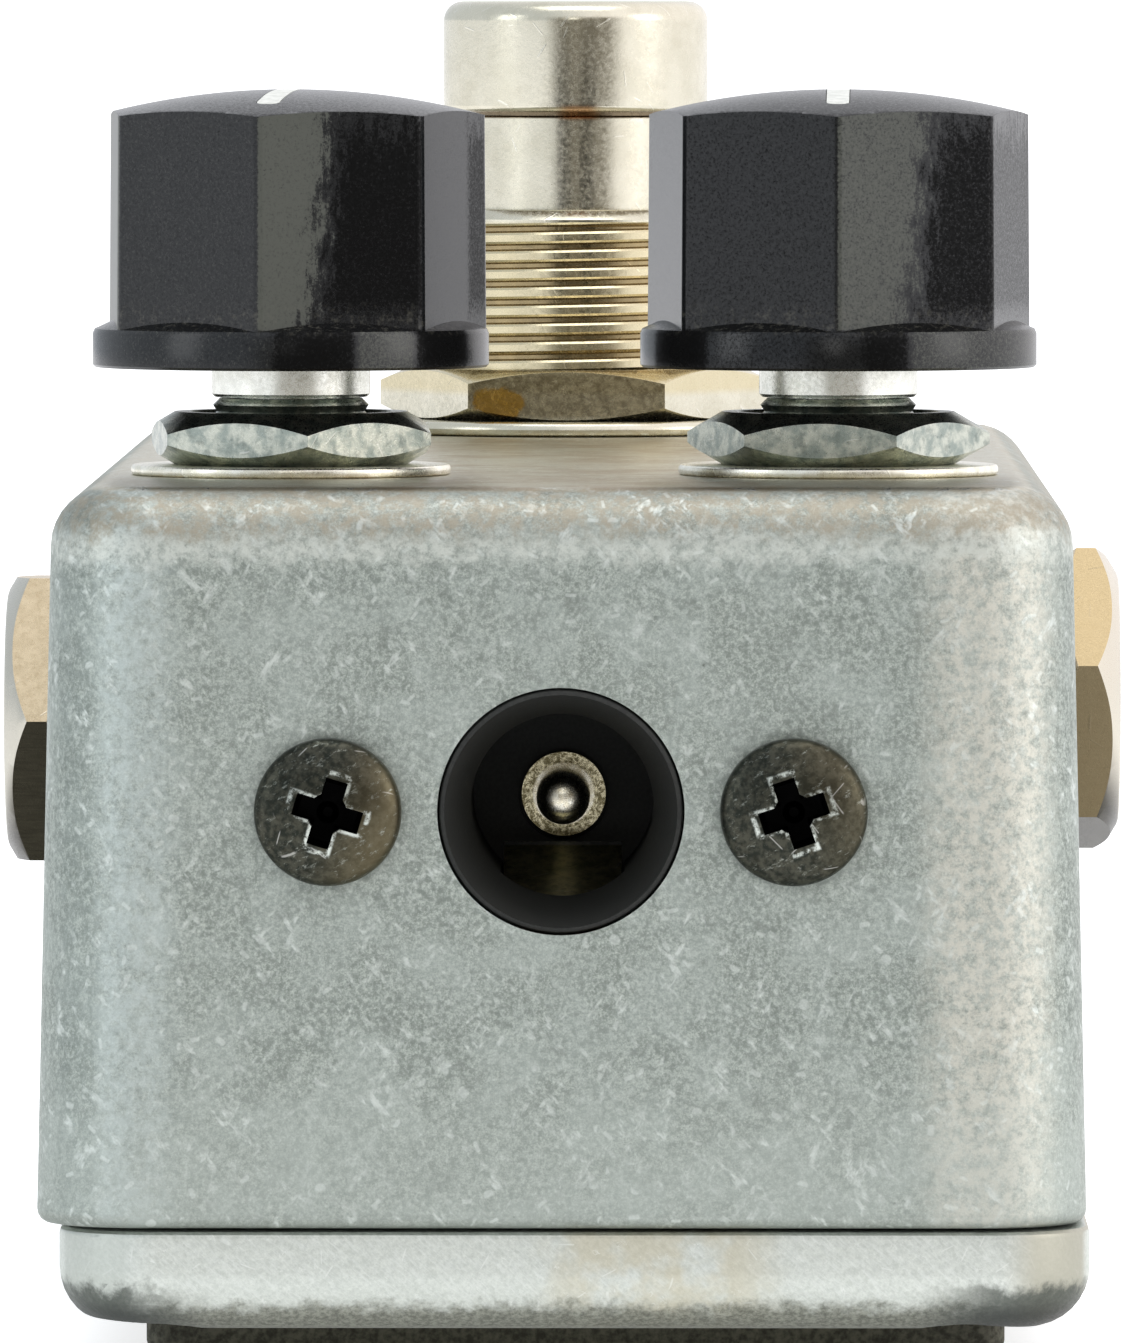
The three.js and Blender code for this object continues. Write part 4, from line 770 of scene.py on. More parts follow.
def worn_cross(finish, metal):
    """The screws beside the power socket: painted black shade deep in the cross recess, bright wear
    along its outline, and a browner right half."""
    parts = finish.parts()
    on_right = finish.math("GREATER_THAN", parts["X"], 0)
    along = {}
    up = {}
    for side, place in socket_screw_places.items():
        centre = (place.x / MM, 0, place.z / MM)
        offset = finish.vector("SUBTRACT", finish.place, centre)
        cosine, sine = math.cos(socket_screw_turns[side]), math.sin(socket_screw_turns[side])
        along[side] = finish.vector("DOT_PRODUCT", offset, (cosine, 0, sine), "Value")
        up[side] = finish.vector("DOT_PRODUCT", offset, (-sine, 0, cosine), "Value")
    along = finish.choose(on_right, along["left"], along["right"])
    up = finish.choose(on_right, up["left"], up["right"])
    reach = finish.apart(along, up)
    at_head = finish.spread(parts["Y"], -43, -44)
    browner = finish.spread(along, -0.4, 2.4, 0, finish.choose(on_right, 0.42, 0.2))
    metal = finish.coat(metal, (122, 110, 82), at_head, browner)
    rubs = finish.noise(2.6, 5, 0.8, finish.slanted(30, (0.7, 1, 1.8), (5, 2, 3)))
    rubs = finish.times(finish.spread(rubs, 0.56, 0.68, 0, 0.5), at_head)
    metal = finish.coat(metal, (168, 172, 162), rubs)
    # Painted shade: black deep in the cross recess.
    depth = finish.less(parts["Y"], socket_screw_top / MM)
    recess = finish.spread(depth, 0.24, 0.34)
    recess = finish.times(recess, finish.spread(reach, 1.75, 1.6), at_head)
    along, up = finish.absolute(along), finish.absolute(up)
    half_span, half_width = cross_span / 2 / MM, cross_width / 2 / MM
    level_arm = finish.most(finish.less(along, half_span), finish.less(up, half_width))
    upright_arm = finish.most(finish.less(up, half_span), finish.less(along, half_width))
    outline = finish.absolute(finish.math("MINIMUM", level_arm, upright_arm))
    worn = finish.spread(finish.noise(1.8, 5, 0.75), 0.44, 0.6)
    worn = finish.times(worn, finish.spread(outline, 0.13, 0.03), finish.spread(reach, 1.8, 1.6))
    metal = finish.coat(metal, (206, 212, 204), worn, at_head)
    return finish.coat(metal, (5, 5, 5), recess)


# Levels that the patterns start and end at, and the nut's golden patch, in millimetres

skirt_end = (38, 38.1)
knob_middle = 44
knob_top_fade = (44.2, 46.8)
knob_foot_fade = (39.6, 38)
knob_dust = (37.7, 38.1, 38.6, 39.2)
thread_levels = (34, 34.4, 41, 41.3)
groove_levels = (45.4, 45.5, 45.72, 45.8)
groove_spot_levels = (45.3, 45.45, 45.9, 46.1)
amber_patch = (-3.1, 22.6, 33.8)


# Stretches round the knobs, as angles from -Y towards +X with 0 for painted black with the reflection
# taken down, 0.5 for clean and 1 for a grey film that is partly dust and partly painted sheen, each
# held up to its angle, where it changes over so many degrees

knob_dust_and_reflection = {
    "left": [
        (-111, 0.5, 1), (-59.7, 1, 0.5), (-8.3, 0.47, 0.5), (14, 0.98, 8), (43.1, 0.04, 0.6),
        (80, 0.44, 3), (93, 0.06, 1), (180, 0.5, 1),
    ],
    "right": [(-52.2, 0.36, 2), (-0.8, 0.36, 0.5), (30, 0.84, 7), (50.6, 0.09, 0.6), (180, 0.07, 1)],
}
skirt_dust_and_reflection = {
    "left": [(-3.7, 0.5, 2), (20.2, 0.05, 2), (40.2, 0.72, 2), (63.5, 0.05, 1.5), (180, 0.6, 1)],
    "right": [(-67.7, 0.5, 2), (-42, 0.03, 2), (6.9, 0.31, 2), (20.2, 0.08, 2), (180, 0.66, 1)],
}

finishes = {
    "cast_aluminium": cast_aluminium(),
    "lid_aluminium": lid_aluminium(),
    "pad_rubber": pad_rubber(),
    "knob_plastic": knob_plastic(),
}
for name, dark, light, grime_and_shade, roughness, settings in (
    ("bare_aluminium", (226, 226, 216), (246, 246, 238), (200, 194, 180), 0.26,
     {"scale": 0.8, "grime_share": 0.15, "bump": 0.002}),
    ("zinc_steel", (154, 163, 156), (203, 206, 194), (80, 88, 84), 0.3,
     {"scale": 1.6, "grime_share": 0.32}),
    ("pale_brass", (240, 236, 218), (254, 251, 238), (176, 166, 134), 0.3, {"grime_share": 0.25}),
    ("satin_nickel", (214, 209, 190), (222, 217, 199), (170, 160, 134), 0.22,
     {"scale": 0.6, "grime_share": 0.12, "trim": thread_grime}),
    ("warm_nickel", (206, 188, 156), (218, 200, 168), (150, 124, 84), 0.3,
     {"scale": 2.5, "grime_share": 0.2, "trim": shaded_below}),
    ("black_oxide", (44, 47, 42), (74, 74, 65), (40, 37, 30), 0.34,
     {"scale": 3.4, "trim": worn_cross}),
    ("pin_metal", (236, 228, 204), (252, 249, 236), (160, 148, 116), 0.24,
     {"scale": 3, "grime_share": 0.3, "trim": worn_ring}),
    ("leaf_metal", (168, 164, 132), (202, 196, 160), (96, 90, 66), 0.36,
     {"scale": 2, "trim": bend_highlight}),
):
    tints = (colour(*tint) for tint in (dark, light, grime_and_shade))
    finishes[name] = worn_metal(name, *tints, roughness, **settings)
for name, dark, light, roughness, settings in (
    ("pointer_white", (214, 216, 208), (238, 239, 232), 0.5, {}),
    ("black_plastic", (38, 39, 37), (52, 53, 50), 0.6, {"scale": 7, "shine": 0.3}),
    ("switch_blue", (38, 80, 138), (52, 100, 160), 0.5, {}),
    ("board_green", (24, 78, 48), (34, 98, 60), 0.45, {}),
    ("phenolic_brown", (104, 60, 28), (132, 82, 42), 0.65, {}),
    ("tinned_metal", (190, 190, 186), (214, 214, 208), 0.32, {"metallic": 1}),
    ("chip_black", (24, 24, 25), (32, 32, 33), 0.6, {}),
    ("capacitor_blue", (28, 44, 84), (38, 58, 106), 0.4, {}),
    ("capacitor_red", (136, 40, 30), (166, 56, 42), 0.45, {}),
    ("wire_yellow", (206, 172, 36), (222, 190, 50), 0.5, {}),
    ("wire_green", (40, 126, 62), (54, 146, 76), 0.5, {}),
    ("wire_white", (212, 208, 198), (228, 225, 216), 0.5, {}),
    ("wire_blue", (36, 76, 152), (50, 94, 176), 0.5, {}),
    ("wire_red", (166, 36, 30), (188, 50, 40), 0.5, {}),
    ("wire_black", (26, 26, 26), (36, 36, 36), 0.5, {}),
):
    finishes[name] = plain_coat(name, colour(*dark), colour(*light), roughness, **settings)

slots = {part["node"]: part["material_slot"] for part in frame["record"]["subparts"]}


def fit(piece, node, slot=None):
    """Gives a finished piece its surface and its body, and hides the CAD node that it stands for."""
    slot = slot or slots[node]
    piece.data.materials.clear()
    piece.data.materials.append(finishes[slot])
    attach(piece, frame["nodes"][node]["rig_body"])
    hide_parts(node)
    return piece


# Case

def level_edges(height):
    def wanted(edge):
        return all(abs(vertex.co.z - height) < 0.001 * MM for vertex in edge.verts)
    return wanted


def standing_edge(edge):
    first, second = edge.verts
    return abs(first.co.z - second.co.z) > 0.9 * edge.calc_length()


def round_edges(piece, wanted, radius, segments):
    choose_edges(piece, wanted)
    bpy.ops.mesh.bevel(offset=radius, segments=segments, affect="EDGES")
    shaped()


def drafted_block(name, low, high, lean, corner, top_edge, foot_edge):
    """A block that leans in on all sides towards its top, with rounded corners and edges."""
    piece = block(name, low, high)
    width, length, _ = Vector(high) - Vector(low)
    choose_faces(piece, lambda face: face.normal.z > 0.9)
    narrower = (1 - 2 * lean / width, 1 - 2 * lean / length, 1)
    centre = (low[0] + width / 2, low[1] + length / 2, high[2])
    bpy.ops.transform.resize(value=narrower, center_override=centre)
    shaped()
    round_edges(piece, standing_edge, corner, 12)
    if top_edge:
        round_edges(piece, level_edges(high[2]), top_edge, 8)
    if foot_edge:
        round_edges(piece, level_edges(low[2]), foot_edge, 4)
    return piece


inset_of_posts = 4.5 * MM
post_x = case_high.x - inset_of_posts
post_y = case_high.y - inset_of_posts
posts = [(sx * post_x, sy * post_y) for sx in SIDES for sy in SIDES]
overrun = 1 * MM
jack_places = {side: middle(side + "_jack_ferrule") for side in ("left", "right")}
case_corner = 4 * MM
case_top_edge = 2.2 * MM
case_foot_edge = 0.5 * MM
post_radius = 3 * MM
post_bore = 1.55 * MM
post_bore_depth = 12 * MM
pot_hole = 3.65 * MM
switch_hole = 6.15 * MM
jack_hole = 4.9 * MM
socket_hole = 4.56 * MM
socket_screw_hole = 1.55 * MM


def lying_rod(name, radius, start, end, sides=ROUND):
    """A rod between two points that lie along X or Y."""
    start, end = Vector(start), Vector(end)
    along = end - start
    piece = rod(name, radius, 0, along.length, sides)
    turn = (0, QUARTER, 0) if abs(along.x) > abs(along.y) else (-QUARTER, 0, 0)
    if along.x < 0 or along.y < 0:
        turn = tuple(-angle for angle in turn)
    return settle(piece, start, turn)


def case():
    low, high = case_low, case_high
    lean = (high.z - low.z) * draft
    piece = drafted_block("case", low, high, lean, case_corner, case_top_edge, case_foot_edge)
    inside_low = (low.x + wall, low.y + wall, low.z - overrun)
    inside_high = (high.x - wall, high.y - wall, high.z - wall)
    inside = drafted_block(
        "case_inside", inside_low, inside_high, lean, case_corner - wall, wall / 2, 0)
    cut(piece, inside)
    for x, y in posts:
        post = rod("post", post_radius, low.z, high.z - wall / 2, SMALL_ROUND)
        join(piece, settle(post, (x, y, 0)))
    drill(piece, post_bore, low.z - overrun, low.z + post_bore_depth, posts, SMALL_ROUND)
    panel_hole = (high.z - 2 * wall, high.z + overrun)
    drill(piece, pot_hole, *panel_hole, pot_places.values())
    drill(piece, switch_hole, *panel_hole, [switch_place])
    for place in jack_places.values():
        inside_end, outside = (
            (math.copysign(reach, place.x), place.y, place.z)
            for reach in (high.x - 2 * wall, high.x + overrun)
        )
        cut(piece, lying_rod("jack_hole", jack_hole, inside_end, outside))
    front_holes = [(socket_place, socket_hole, ROUND)]
    front_holes += [
        (place, socket_screw_hole, SMALL_ROUND) for place in socket_screw_places.values()
    ]
    for place, radius, sides in front_holes:
        inside_end, outside = (
            (place.x, reach, place.z) for reach in (low.y + 2 * wall, low.y - overrun)
        )
        cut(piece, lying_rod("front_hole", radius, inside_end, outside, sides))
    return fit(smooth(piece, 24), "enclosure_body")


case()


# Lid, pad and lid screws

lid_corner = 3.8 * MM
lid_bottom_edge = 2.2 * MM
lid_top_edge = 0.3 * MM
lid_floor = 2 * MM
lid_rim = 2.4 * MM
lid_level = case_low.z - 0.1 * MM
lid_shift = (lid_low.x + lid_high.x) / 2
boss_radius = 4 * MM
lip_reach = 1 * MM
lip_thickness = 1.4 * MM
lip_inset = 13 * MM
screw_radius = 1.45 * MM
screw_head_radius = 2.75 * MM
screw_head_sink = 0.45 * MM
screw_head_depth = 1.6 * MM
screw_length = 12 * MM
lid_cross_span = 3 * MM
lid_cross_width = 0.75 * MM
lid_cross_depth = 1 * MM
play = 0.15 * MM


def lid():
    low = (lid_low.x, lid_low.y, pad_high.z)
    high = (lid_high.x, lid_high.y, lid_level)
    piece = block("lid", low, high)
    round_edges(piece, standing_edge, lid_corner, 12)
    round_edges(piece, level_edges(low[2]), lid_bottom_edge, 8)
    round_edges(piece, level_edges(high[2]), lid_top_edge, 3)
    outline = copied(piece, "lid_outline")
    pocket = block(
        "pocket",
        (low[0] + lid_rim, low[1] + lid_rim, low[2] + lid_floor),
        (high[0] - lid_rim, high[1] - lid_rim, high[2] + overrun),
    )
    round_edges(pocket, standing_edge, lid_corner - lid_rim, 6)
    cut(piece, pocket)
    for x, y in posts:
        boss = rod("boss", boss_radius, low[2] + lid_floor / 2, high[2], SMALL_ROUND)
        combine(settle(boss, (x, y, 0)), copied(outline, "boss_outline"), "INTERSECT")
        join(piece, boss)
    bpy.data.objects.remove(outline)
    lip_low, lip_high = low[2] + lid_floor / 2, lid_high.z
    lip_x = case_high.x - wall - lip_reach
    lip_y = case_high.y - wall - lip_reach
    half_length, half_width = case_high.y - lip_inset, case_high.x - lip_inset
    for side in SIDES:
        near, far = sorted((side * lip_x, side * (lip_x - lip_thickness)))
        join(piece, block(
            "side_lip",
            (lid_shift + near, -half_length, lip_low),
            (lid_shift + far, half_length, lip_high),
        ))
        near, far = sorted((side * lip_y, side * (lip_y - lip_thickness)))
        join(piece, block(
            "end_lip",
            (lid_shift - half_width, near, lip_low),
            (lid_shift + half_width, far, lip_high),
        ))
    head_bottom = low[2] + screw_head_sink
    for x, y in posts:
        hole = turned("lid_hole", [
            (screw_head_radius + play, low[2] - overrun),
            (screw_head_radius + play, head_bottom),
            (screw_radius + play, head_bottom + screw_head_depth),
            (screw_radius + play, high[2] + overrun),
        ], SMALL_ROUND)
        cut(piece, settle(hole, (x, y, 0)))
    return fit(smooth(piece, 24), "base_plate")


def cross(name, span, width, bottom, top):
    """A cross recess to cut with: two arms that narrow towards the bottom, and a point between them."""
    arms = []
    for turn in (0, QUARTER):
        arm = block(name, (-span / 2, -width / 2, bottom), (span / 2, width / 2, top + overrun))
        choose_faces(arm, lambda face: face.normal.z < -0.9)
        bpy.ops.transform.resize(value=(0.72, 0.85, 1), center_override=(0, 0, bottom))
        shaped()
        arms.append(settle(arm, turn=(0, 0, turn)))
    tool = join(*arms)
    point = turned(name + "_point", [
        (width * 0.2, bottom - width * 0.3),
        (width * 0.72, bottom + width * 0.3),
        (width * 0.95, top + overrun),
    ], SMALL_ROUND)
    return join(tool, point)


def lid_screws():
    bottom = pad_high.z + screw_head_sink
    model = turned("lid_screw", [
        (screw_head_radius - 0.1 * MM, bottom),
        (screw_head_radius, bottom + 0.1 * MM),
        (screw_radius, bottom + screw_head_depth),
        (screw_radius, bottom + screw_length - screw_radius / 2),
        (screw_radius / 2, bottom + screw_length),
    ], SMALL_ROUND)
    recess = cross("lid_screw_cross", lid_cross_span, lid_cross_width, -lid_cross_depth, 0)
    recess = settle(recess, (0, 0, bottom), turn=(math.pi, 0, 0))
    cut(model, recess)
    eased(model, 0.04 * MM, 2)
    for count, (x, y) in enumerate(posts, 1):
        turn = math.radians(23 * count)
        screw = copied(model, f"lid_screw_head_{count}", (x, y, 0), (0, 0, turn))
        fit(smooth(screw, 30), f"lid_screw_{count}")
    bpy.data.objects.remove(model)


def pad():
    piece = block("pad", pad_low, pad_high)
    round_edges(piece, standing_edge, 1 * MM, 5)
    round_edges(piece, level_edges(pad_low.z), 0.3 * MM, 3)
    return fit(smooth(piece), "rubber_pad")


lid()
lid_screws()
pad()


# Hex nuts, turned down by a cone at each face

def nut(name, across_flats, bore, bottom, top, face_radius, corner_drop, turn):
    reach = across_flats / 2 / math.cos(math.pi / 6)
    piece = prism(name, 6, reach, bottom, top, turn)
    cone = turned(name + "_cone", [
        (face_radius, bottom),
        (reach, bottom + corner_drop),
        (reach, top - corner_drop),
        (face_radius, top),
    ], FINE_ROUND)
    combine(piece, cone, "INTERSECT")
    chamfer = 0.25 * MM
    hole = turned(name + "_bore", [
        (bore + chamfer * 2, bottom - chamfer),
        (bore, bottom + chamfer),
        (bore, top - chamfer),
        (bore + chamfer * 2, top + chamfer),
    ], ROUND)
    cut(piece, hole)
    return eased(piece, 0.05 * MM, 2, 28)


# Potentiometers

pot_nut_turns = {"left": math.radians(7.7), "right": math.radians(21.8)}
knob_turns = {"left": math.radians(-8.3), "right": math.radians(-0.8)}
pot_nut_flats = 10 * MM
pot_nut_face = 4.4 * MM
pot_nut_drop = 0.8 * MM
bushing_radius = 3.5 * MM
nut_play = 0.1 * MM


def pot_washer():
    low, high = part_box("left_pot_washer")
    piece = ring("pot_washer", (high.x - low.x) / 2, bushing_radius + play, low.z, high.z, FINE_ROUND)
    return eased(piece, 0.14 * MM, 3)


def pot_nut(side):
    low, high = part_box(side + "_pot_nut")
    bore = bushing_radius + nut_play
    faces = (low.z, high.z, pot_nut_face, pot_nut_drop)
    return nut(side + "_pot_nut_hex", pot_nut_flats, bore, *faces, pot_nut_turns[side])


def pot_body():
    """The housing below the panel, and the bushing whose threaded neck stands above the nut."""
    low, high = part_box("left_pot_body")
    place = pot_places["left"]
    housing_top = panel - wall - 0.1 * MM
    housing = block(
        "pot_housing",
        (low.x - place.x, low.y - place.y, low.z),
        (high.x - place.x, high.y - place.y, housing_top),
    )
    round_edges(housing, standing_edge, 0.6 * MM, 4)
    nut_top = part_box("left_pot_nut")[1].z
    neck = 2.9 * MM
    step = 0.25 * MM
    join(housing, turned("pot_bushing", [
        (bushing_radius, housing_top - 0.6 * MM),
        (bushing_radius, nut_top - 2 * step),
        (neck + 0.12 * MM, nut_top - step),
        (neck - 0.1 * MM, nut_top),
        (neck + 0.05 * MM, nut_top + step),
        (neck - 0.12 * MM, high.z - 0.08 * MM),
        (neck - 0.2 * MM, high.z),
    ]))
    cut(housing, rod("pot_bore", 2.1 * MM, housing_top - 4.6 * MM, high.z + overrun))
    return housing


def pot_shaft():
    low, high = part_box("left_pot_shaft")
    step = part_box("left_pot_body")[1].z + 0.05 * MM
    radius = 3 * MM
    edge = 0.12 * MM
    return turned("pot_shaft", [
        (1.95 * MM, low.z),
        (1.95 * MM, step),
        (radius - edge, step),
        (radius, step + edge),
        (radius, high.z - edge),
        (radius - edge, high.z),
    ], FINE_ROUND)


# Knobs: seven flanks with rounded corners between a skirt and a dome

knob_corners = 7
knob_reach = 7.42 * MM
knob_corner = 0.45 * MM
knob_taper = 0.99
knob_dome = 28 * MM
skirt_radius = 7.5 * MM
skirt_edge = 0.25 * MM
skirt_rise = 0.4 * MM
skirt_inner = 6.4 * MM
pointer_width = 0.85 * MM
pointer_start = 5.35 * MM
pointer_depth = 0.45 * MM
set_screw_level = 3.6 * MM
set_screw_hole = 1.6 * MM
set_screw_length = 2.6 * MM
knob_bore = 3.08 * MM
knob_bore_depth = 8.1 * MM
knob_low, knob_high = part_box("left_knob")
skirt_top = knob_low.z + 1.53 * MM


def dome(name, drop):
    """A ball whose top is the knob's dome, lowered by a drop."""
    bpy.ops.object.select_all(action="DESELECT")
    centre = (0, 0, knob_high.z - knob_dome - drop)
    bpy.ops.mesh.primitive_uv_sphere_add(
        segments=FINE_ROUND, ring_count=240, radius=knob_dome, location=centre)
    ball = settle(begun(name))
    shape(ball)
    bpy.ops.mesh.select_all(action="SELECT")
    level = (0, 0, knob_low.z - overrun)
    bpy.ops.mesh.bisect(
        plane_co=level, plane_no=(0, 0, 1), use_fill=True, clear_inner=True, threshold=hairline)
    shaped()
    return ball


def knob_shape():
    half = math.pi / knob_corners
    piece = prism("knob", knob_corners, knob_reach + knob_corner * (1 / math.cos(half) - 1),
                  knob_low.z + 0.8 * MM, knob_high.z + overrun)
    choose_faces(piece, lambda face: face.normal.z > 0.9)
    bpy.ops.transform.resize(value=(knob_taper, knob_taper, 1), center_override=(0, 0, knob_high.z))
    shaped()
    round_edges(piece, standing_edge, knob_corner * math.tan(half), 6)
    combine(piece, dome("knob_dome", 0), "INTERSECT")
    eased(piece, 0.14 * MM, 3, 40)
    skirt = turned("knob_skirt", [
        (skirt_radius - 0.1 * MM, knob_low.z),
        (skirt_radius, knob_low.z + 0.1 * MM),
        (skirt_radius, skirt_top - skirt_edge),
        (skirt_radius - skirt_edge * 0.3, skirt_top - skirt_edge * 0.3),
        (skirt_radius - skirt_edge, skirt_top),
        (skirt_inner, skirt_top + skirt_rise),
    ], FINE_ROUND)
    join(piece, skirt)
    below = knob_low.z - overrun
    bore = rod("knob_bore", knob_bore, below, knob_low.z + knob_bore_depth, SMALL_ROUND)
    recess = ring("knob_recess", 6 * MM, 4.3 * MM, below, knob_low.z + 5 * MM, SMALL_ROUND)
    cut(piece, bore, recess)
    groove = pointer_bar("pointer_groove", 0.03 * MM)
    combine(groove, dome("groove_floor", pointer_depth + 0.05 * MM), "DIFFERENCE")
    cut(piece, groove)
    height = skirt_top + set_screw_level
    outside = (0, skirt_radius + overrun, height)
    return cut(piece, lying_rod(
        "set_screw_hole", set_screw_hole, (0, 3 * MM, height), outside, SMALL_ROUND))


def pointer_bar(name, clearance):
    """An upright bar from the knob's middle to its front, with a rounded front end."""
    half = pointer_width / 2 + clearance
    bar = block(
        name,
        (-half, -pointer_start - clearance, knob_high.z - 3 * MM),
        (half, clearance, knob_high.z + overrun),
    )

    def front_corner(edge):
        return standing_edge(edge) and edge.verts[0].co.y < -pointer_start / 2
    round_edges(bar, front_corner, 0.8 * half, 6)
    return bar


def pointer_shape():
    piece = pointer_bar("pointer", 0)
    combine(piece, dome("pointer_top", 0), "INTERSECT")
    combine(piece, dome("pointer_floor", pointer_depth), "DIFFERENCE")
    return eased(piece, 0.05 * MM, 2)


def set_screw():
    height = skirt_top + set_screw_level
    start, end = knob_bore, knob_bore + set_screw_length
    piece = lying_rod("set_screw", 1.5 * MM, (0, start, height), (0, end, height), SMALL_ROUND)
    socket = prism("set_screw_socket", 6, 0.85 * MM, 0, 1.1 * MM + overrun)
    socket = settle(socket, (0, end - 1.1 * MM, height), (-QUARTER, 0, 0))
    return eased(cut(piece, socket), 0.1 * MM, 2)


def potentiometers():
    models = {
        "pot_washer": pot_washer(),
        "pot_body": pot_body(),
        "pot_shaft": pot_shaft(),
        "knob": knob_shape(),
        "knob_pointer": pointer_shape(),
        "knob_set_screw": set_screw(),
    }
    turning = ("pot_shaft", "knob", "knob_pointer", "knob_set_screw")
    for side, place in pot_places.items():
        move = (place.x, place.y, 0)
        for node, model in models.items():
            turn = (0, 0, knob_turns[side]) if node in turning else (0, 0, 0)
            fit(smooth(copied(model, f"{side}_{node}_piece", move, turn), 28), f"{side}_{node}")
        fit(smooth(settle(pot_nut(side), move), 28), side + "_pot_nut")
    for model in models.values():
        bpy.data.objects.remove(model)


potentiometers()


# Footswitch

switch_nut_turn = math.radians(27.3)
thread_pitch = 0.75 * MM
thread_root = 5.76 * MM
thread_crest = 6 * MM
thread_bottom = panel + 1.95 * MM
thread_top = panel + 8.75 * MM
plate_top = panel - 4.2 * MM
bushing_chamfer = 5.5 * MM
bushing_bore = 4.85 * MM
switch_nut_flats = 14 * MM
switch_nut_face = 6.85 * MM
switch_nut_drop = 0.55 * MM


def at_switch(piece, node, angle=28):
    return fit(smooth(settle(piece, (switch_place.x, switch_place.y, 0)), angle), node)


def thread():
    """One pitch of the thread's outline, swept up and round, then sliced flat at both ends."""
    turns = math.ceil((thread_top - thread_bottom) / thread_pitch) + 2
    start = thread_bottom - thread_pitch
    bpy.ops.object.select_all(action="DESELECT")
    bpy.ops.mesh.primitive_plane_add(size=MM, location=(0, 0, 0))
    piece = begun("switch_thread")
    bpy.ops.object.mode_set(mode="EDIT")
    bpy.ops.mesh.select_mode(type="VERT")
    bpy.ops.mesh.select_all(action="SELECT")
    bpy.ops.mesh.merge(type="CENTER")
    bpy.ops.transform.translate(value=(thread_root, 0, start))
    outline = [(0, 0.1), (0.7, 0.2), (1, 0.32), (1, 0.68), (0.7, 0.8), (0, 0.9), (0, 1)]
    depth = thread_crest - thread_root
    out, up = 0, 0
    for next_out, next_up in outline:
        step = ((next_out - out) * depth, 0, (next_up - up) * thread_pitch)
        bpy.ops.mesh.extrude_region_move(TRANSFORM_OT_translate={"value": step})
        out, up = next_out, next_up
    bpy.ops.object.mode_set(mode="OBJECT")
    sweep = piece.modifiers.new("sweep", "SCREW")
    sweep.axis = "Z"
    sweep.steps = ROUND
    sweep.render_steps = ROUND
    sweep.screw_offset = thread_pitch
    sweep.iterations = turns
    pick(piece)
    bpy.ops.object.modifier_apply(modifier=sweep.name)
    shape(piece)
    bpy.ops.mesh.select_all(action="SELECT")
    bpy.ops.mesh.remove_doubles(threshold=0.002 * MM)
    for level, direction in ((thread_bottom, -1), (thread_top, 1)):
        bpy.ops.mesh.select_all(action="SELECT")
        bpy.ops.mesh.bisect(
            plane_co=(0, 0, level),
            plane_no=(0, 0, direction),
            use_fill=True,
            clear_outer=True,
            threshold=hairline,
        )
    bpy.ops.mesh.select_all(action="SELECT")
    bpy.ops.mesh.normals_make_consistent(inside=False)
    shaped()
    return piece


def footswitch_bushing():
    low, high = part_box("footswitch_bushing")
    piece = thread()
    edge = 0.1 * MM
    collar = turned("switch_collar", [
        (thread_root, thread_top - thread_pitch / 4),
        (thread_crest - edge / 2, thread_top),
        (thread_crest - edge / 2, thread_top + edge),
        (bushing_chamfer + edge, high.z - edge / 2),
        (bushing_chamfer, high.z),
    ], FINE_ROUND)
    foot_top = thread_bottom + thread_pitch
    foot = rod("switch_thread_foot", thread_root + edge, plate_top, foot_top, FINE_ROUND)
    half = (high.x - low.x) / 2
    join(piece, collar, foot, turned_block("switch_plate", half, half, low.z, plate_top))
    bore = turned("switch_bore", [
        (bushing_bore, low.z - overrun),
        (bushing_bore, high.z - 2 * edge),
        (bushing_bore + 3 * edge, high.z + edge),
    ], FINE_ROUND)
    cut(piece, bore)
    return at_switch(piece, "footswitch_bushing", 24)


def footswitch_plunger():
    low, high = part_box("footswitch_plunger")
    barrel, groove, cap = 4.7 * MM, 4.4 * MM, 5.45 * MM
    groove_bottom = panel + 13.1 * MM
    groove_top = panel + 13.26 * MM
    edge = 0.2 * MM
    flange_top = panel - 5.25 * MM
    profile = [
        (1.9 * MM, low.z),
        (1.9 * MM, flange_top - 0.9 * MM),
        (5.3 * MM, flange_top - 0.9 * MM),
        (5.3 * MM, flange_top),
        (barrel, flange_top),
        (barrel, groove_bottom - edge / 2),
        (barrel - edge / 2, groove_bottom),
        (groove, groove_bottom),
        (groove, groove_top),
        (cap - 0.25 * MM, groove_top),
        (cap - 0.07 * MM, groove_top + 0.07 * MM),
        (cap, groove_top + 0.25 * MM),
    ]
    for inset, rise in arc(0.8 * MM, 8):
        profile.append((cap - inset, high.z - 0.8 * MM + rise))
    profile.append((1.2 * MM, high.z))
    return at_switch(turned("switch_plunger", profile, FINE_ROUND), "footswitch_plunger", 50)


def footswitch():
    low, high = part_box("footswitch_washer")
    outer = (high.x - low.x) / 2
    washer = ring("switch_washer", outer, thread_crest + play, low.z, high.z, FINE_ROUND)
    at_switch(eased(washer, 0.35 * MM, 4), "footswitch_washer")
    low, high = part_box("footswitch_nut")
    faces = (low.z, high.z, switch_nut_face, switch_nut_drop)
    hexagon = nut("switch_nut", switch_nut_flats, thread_crest + nut_play, *faces, switch_nut_turn)
    at_switch(hexagon, "footswitch_nut")
    footswitch_bushing()
    footswitch_plunger()


footswitch()


# Side jacks, modelled with their wall at height 0 and local Z outwards

jack_nut_turns = {"left": math.radians(1), "right": math.radians(-14.2)}
jack_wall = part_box("right_jack_washer")[0].x
jack_washer = 6.4 * MM
jack_bore = 3.25 * MM
jack_outer = 4.75 * MM
jack_nut_flats = 11 * MM
jack_rim = 4.85 * MM
jack_corner_drop = 0.95 * MM


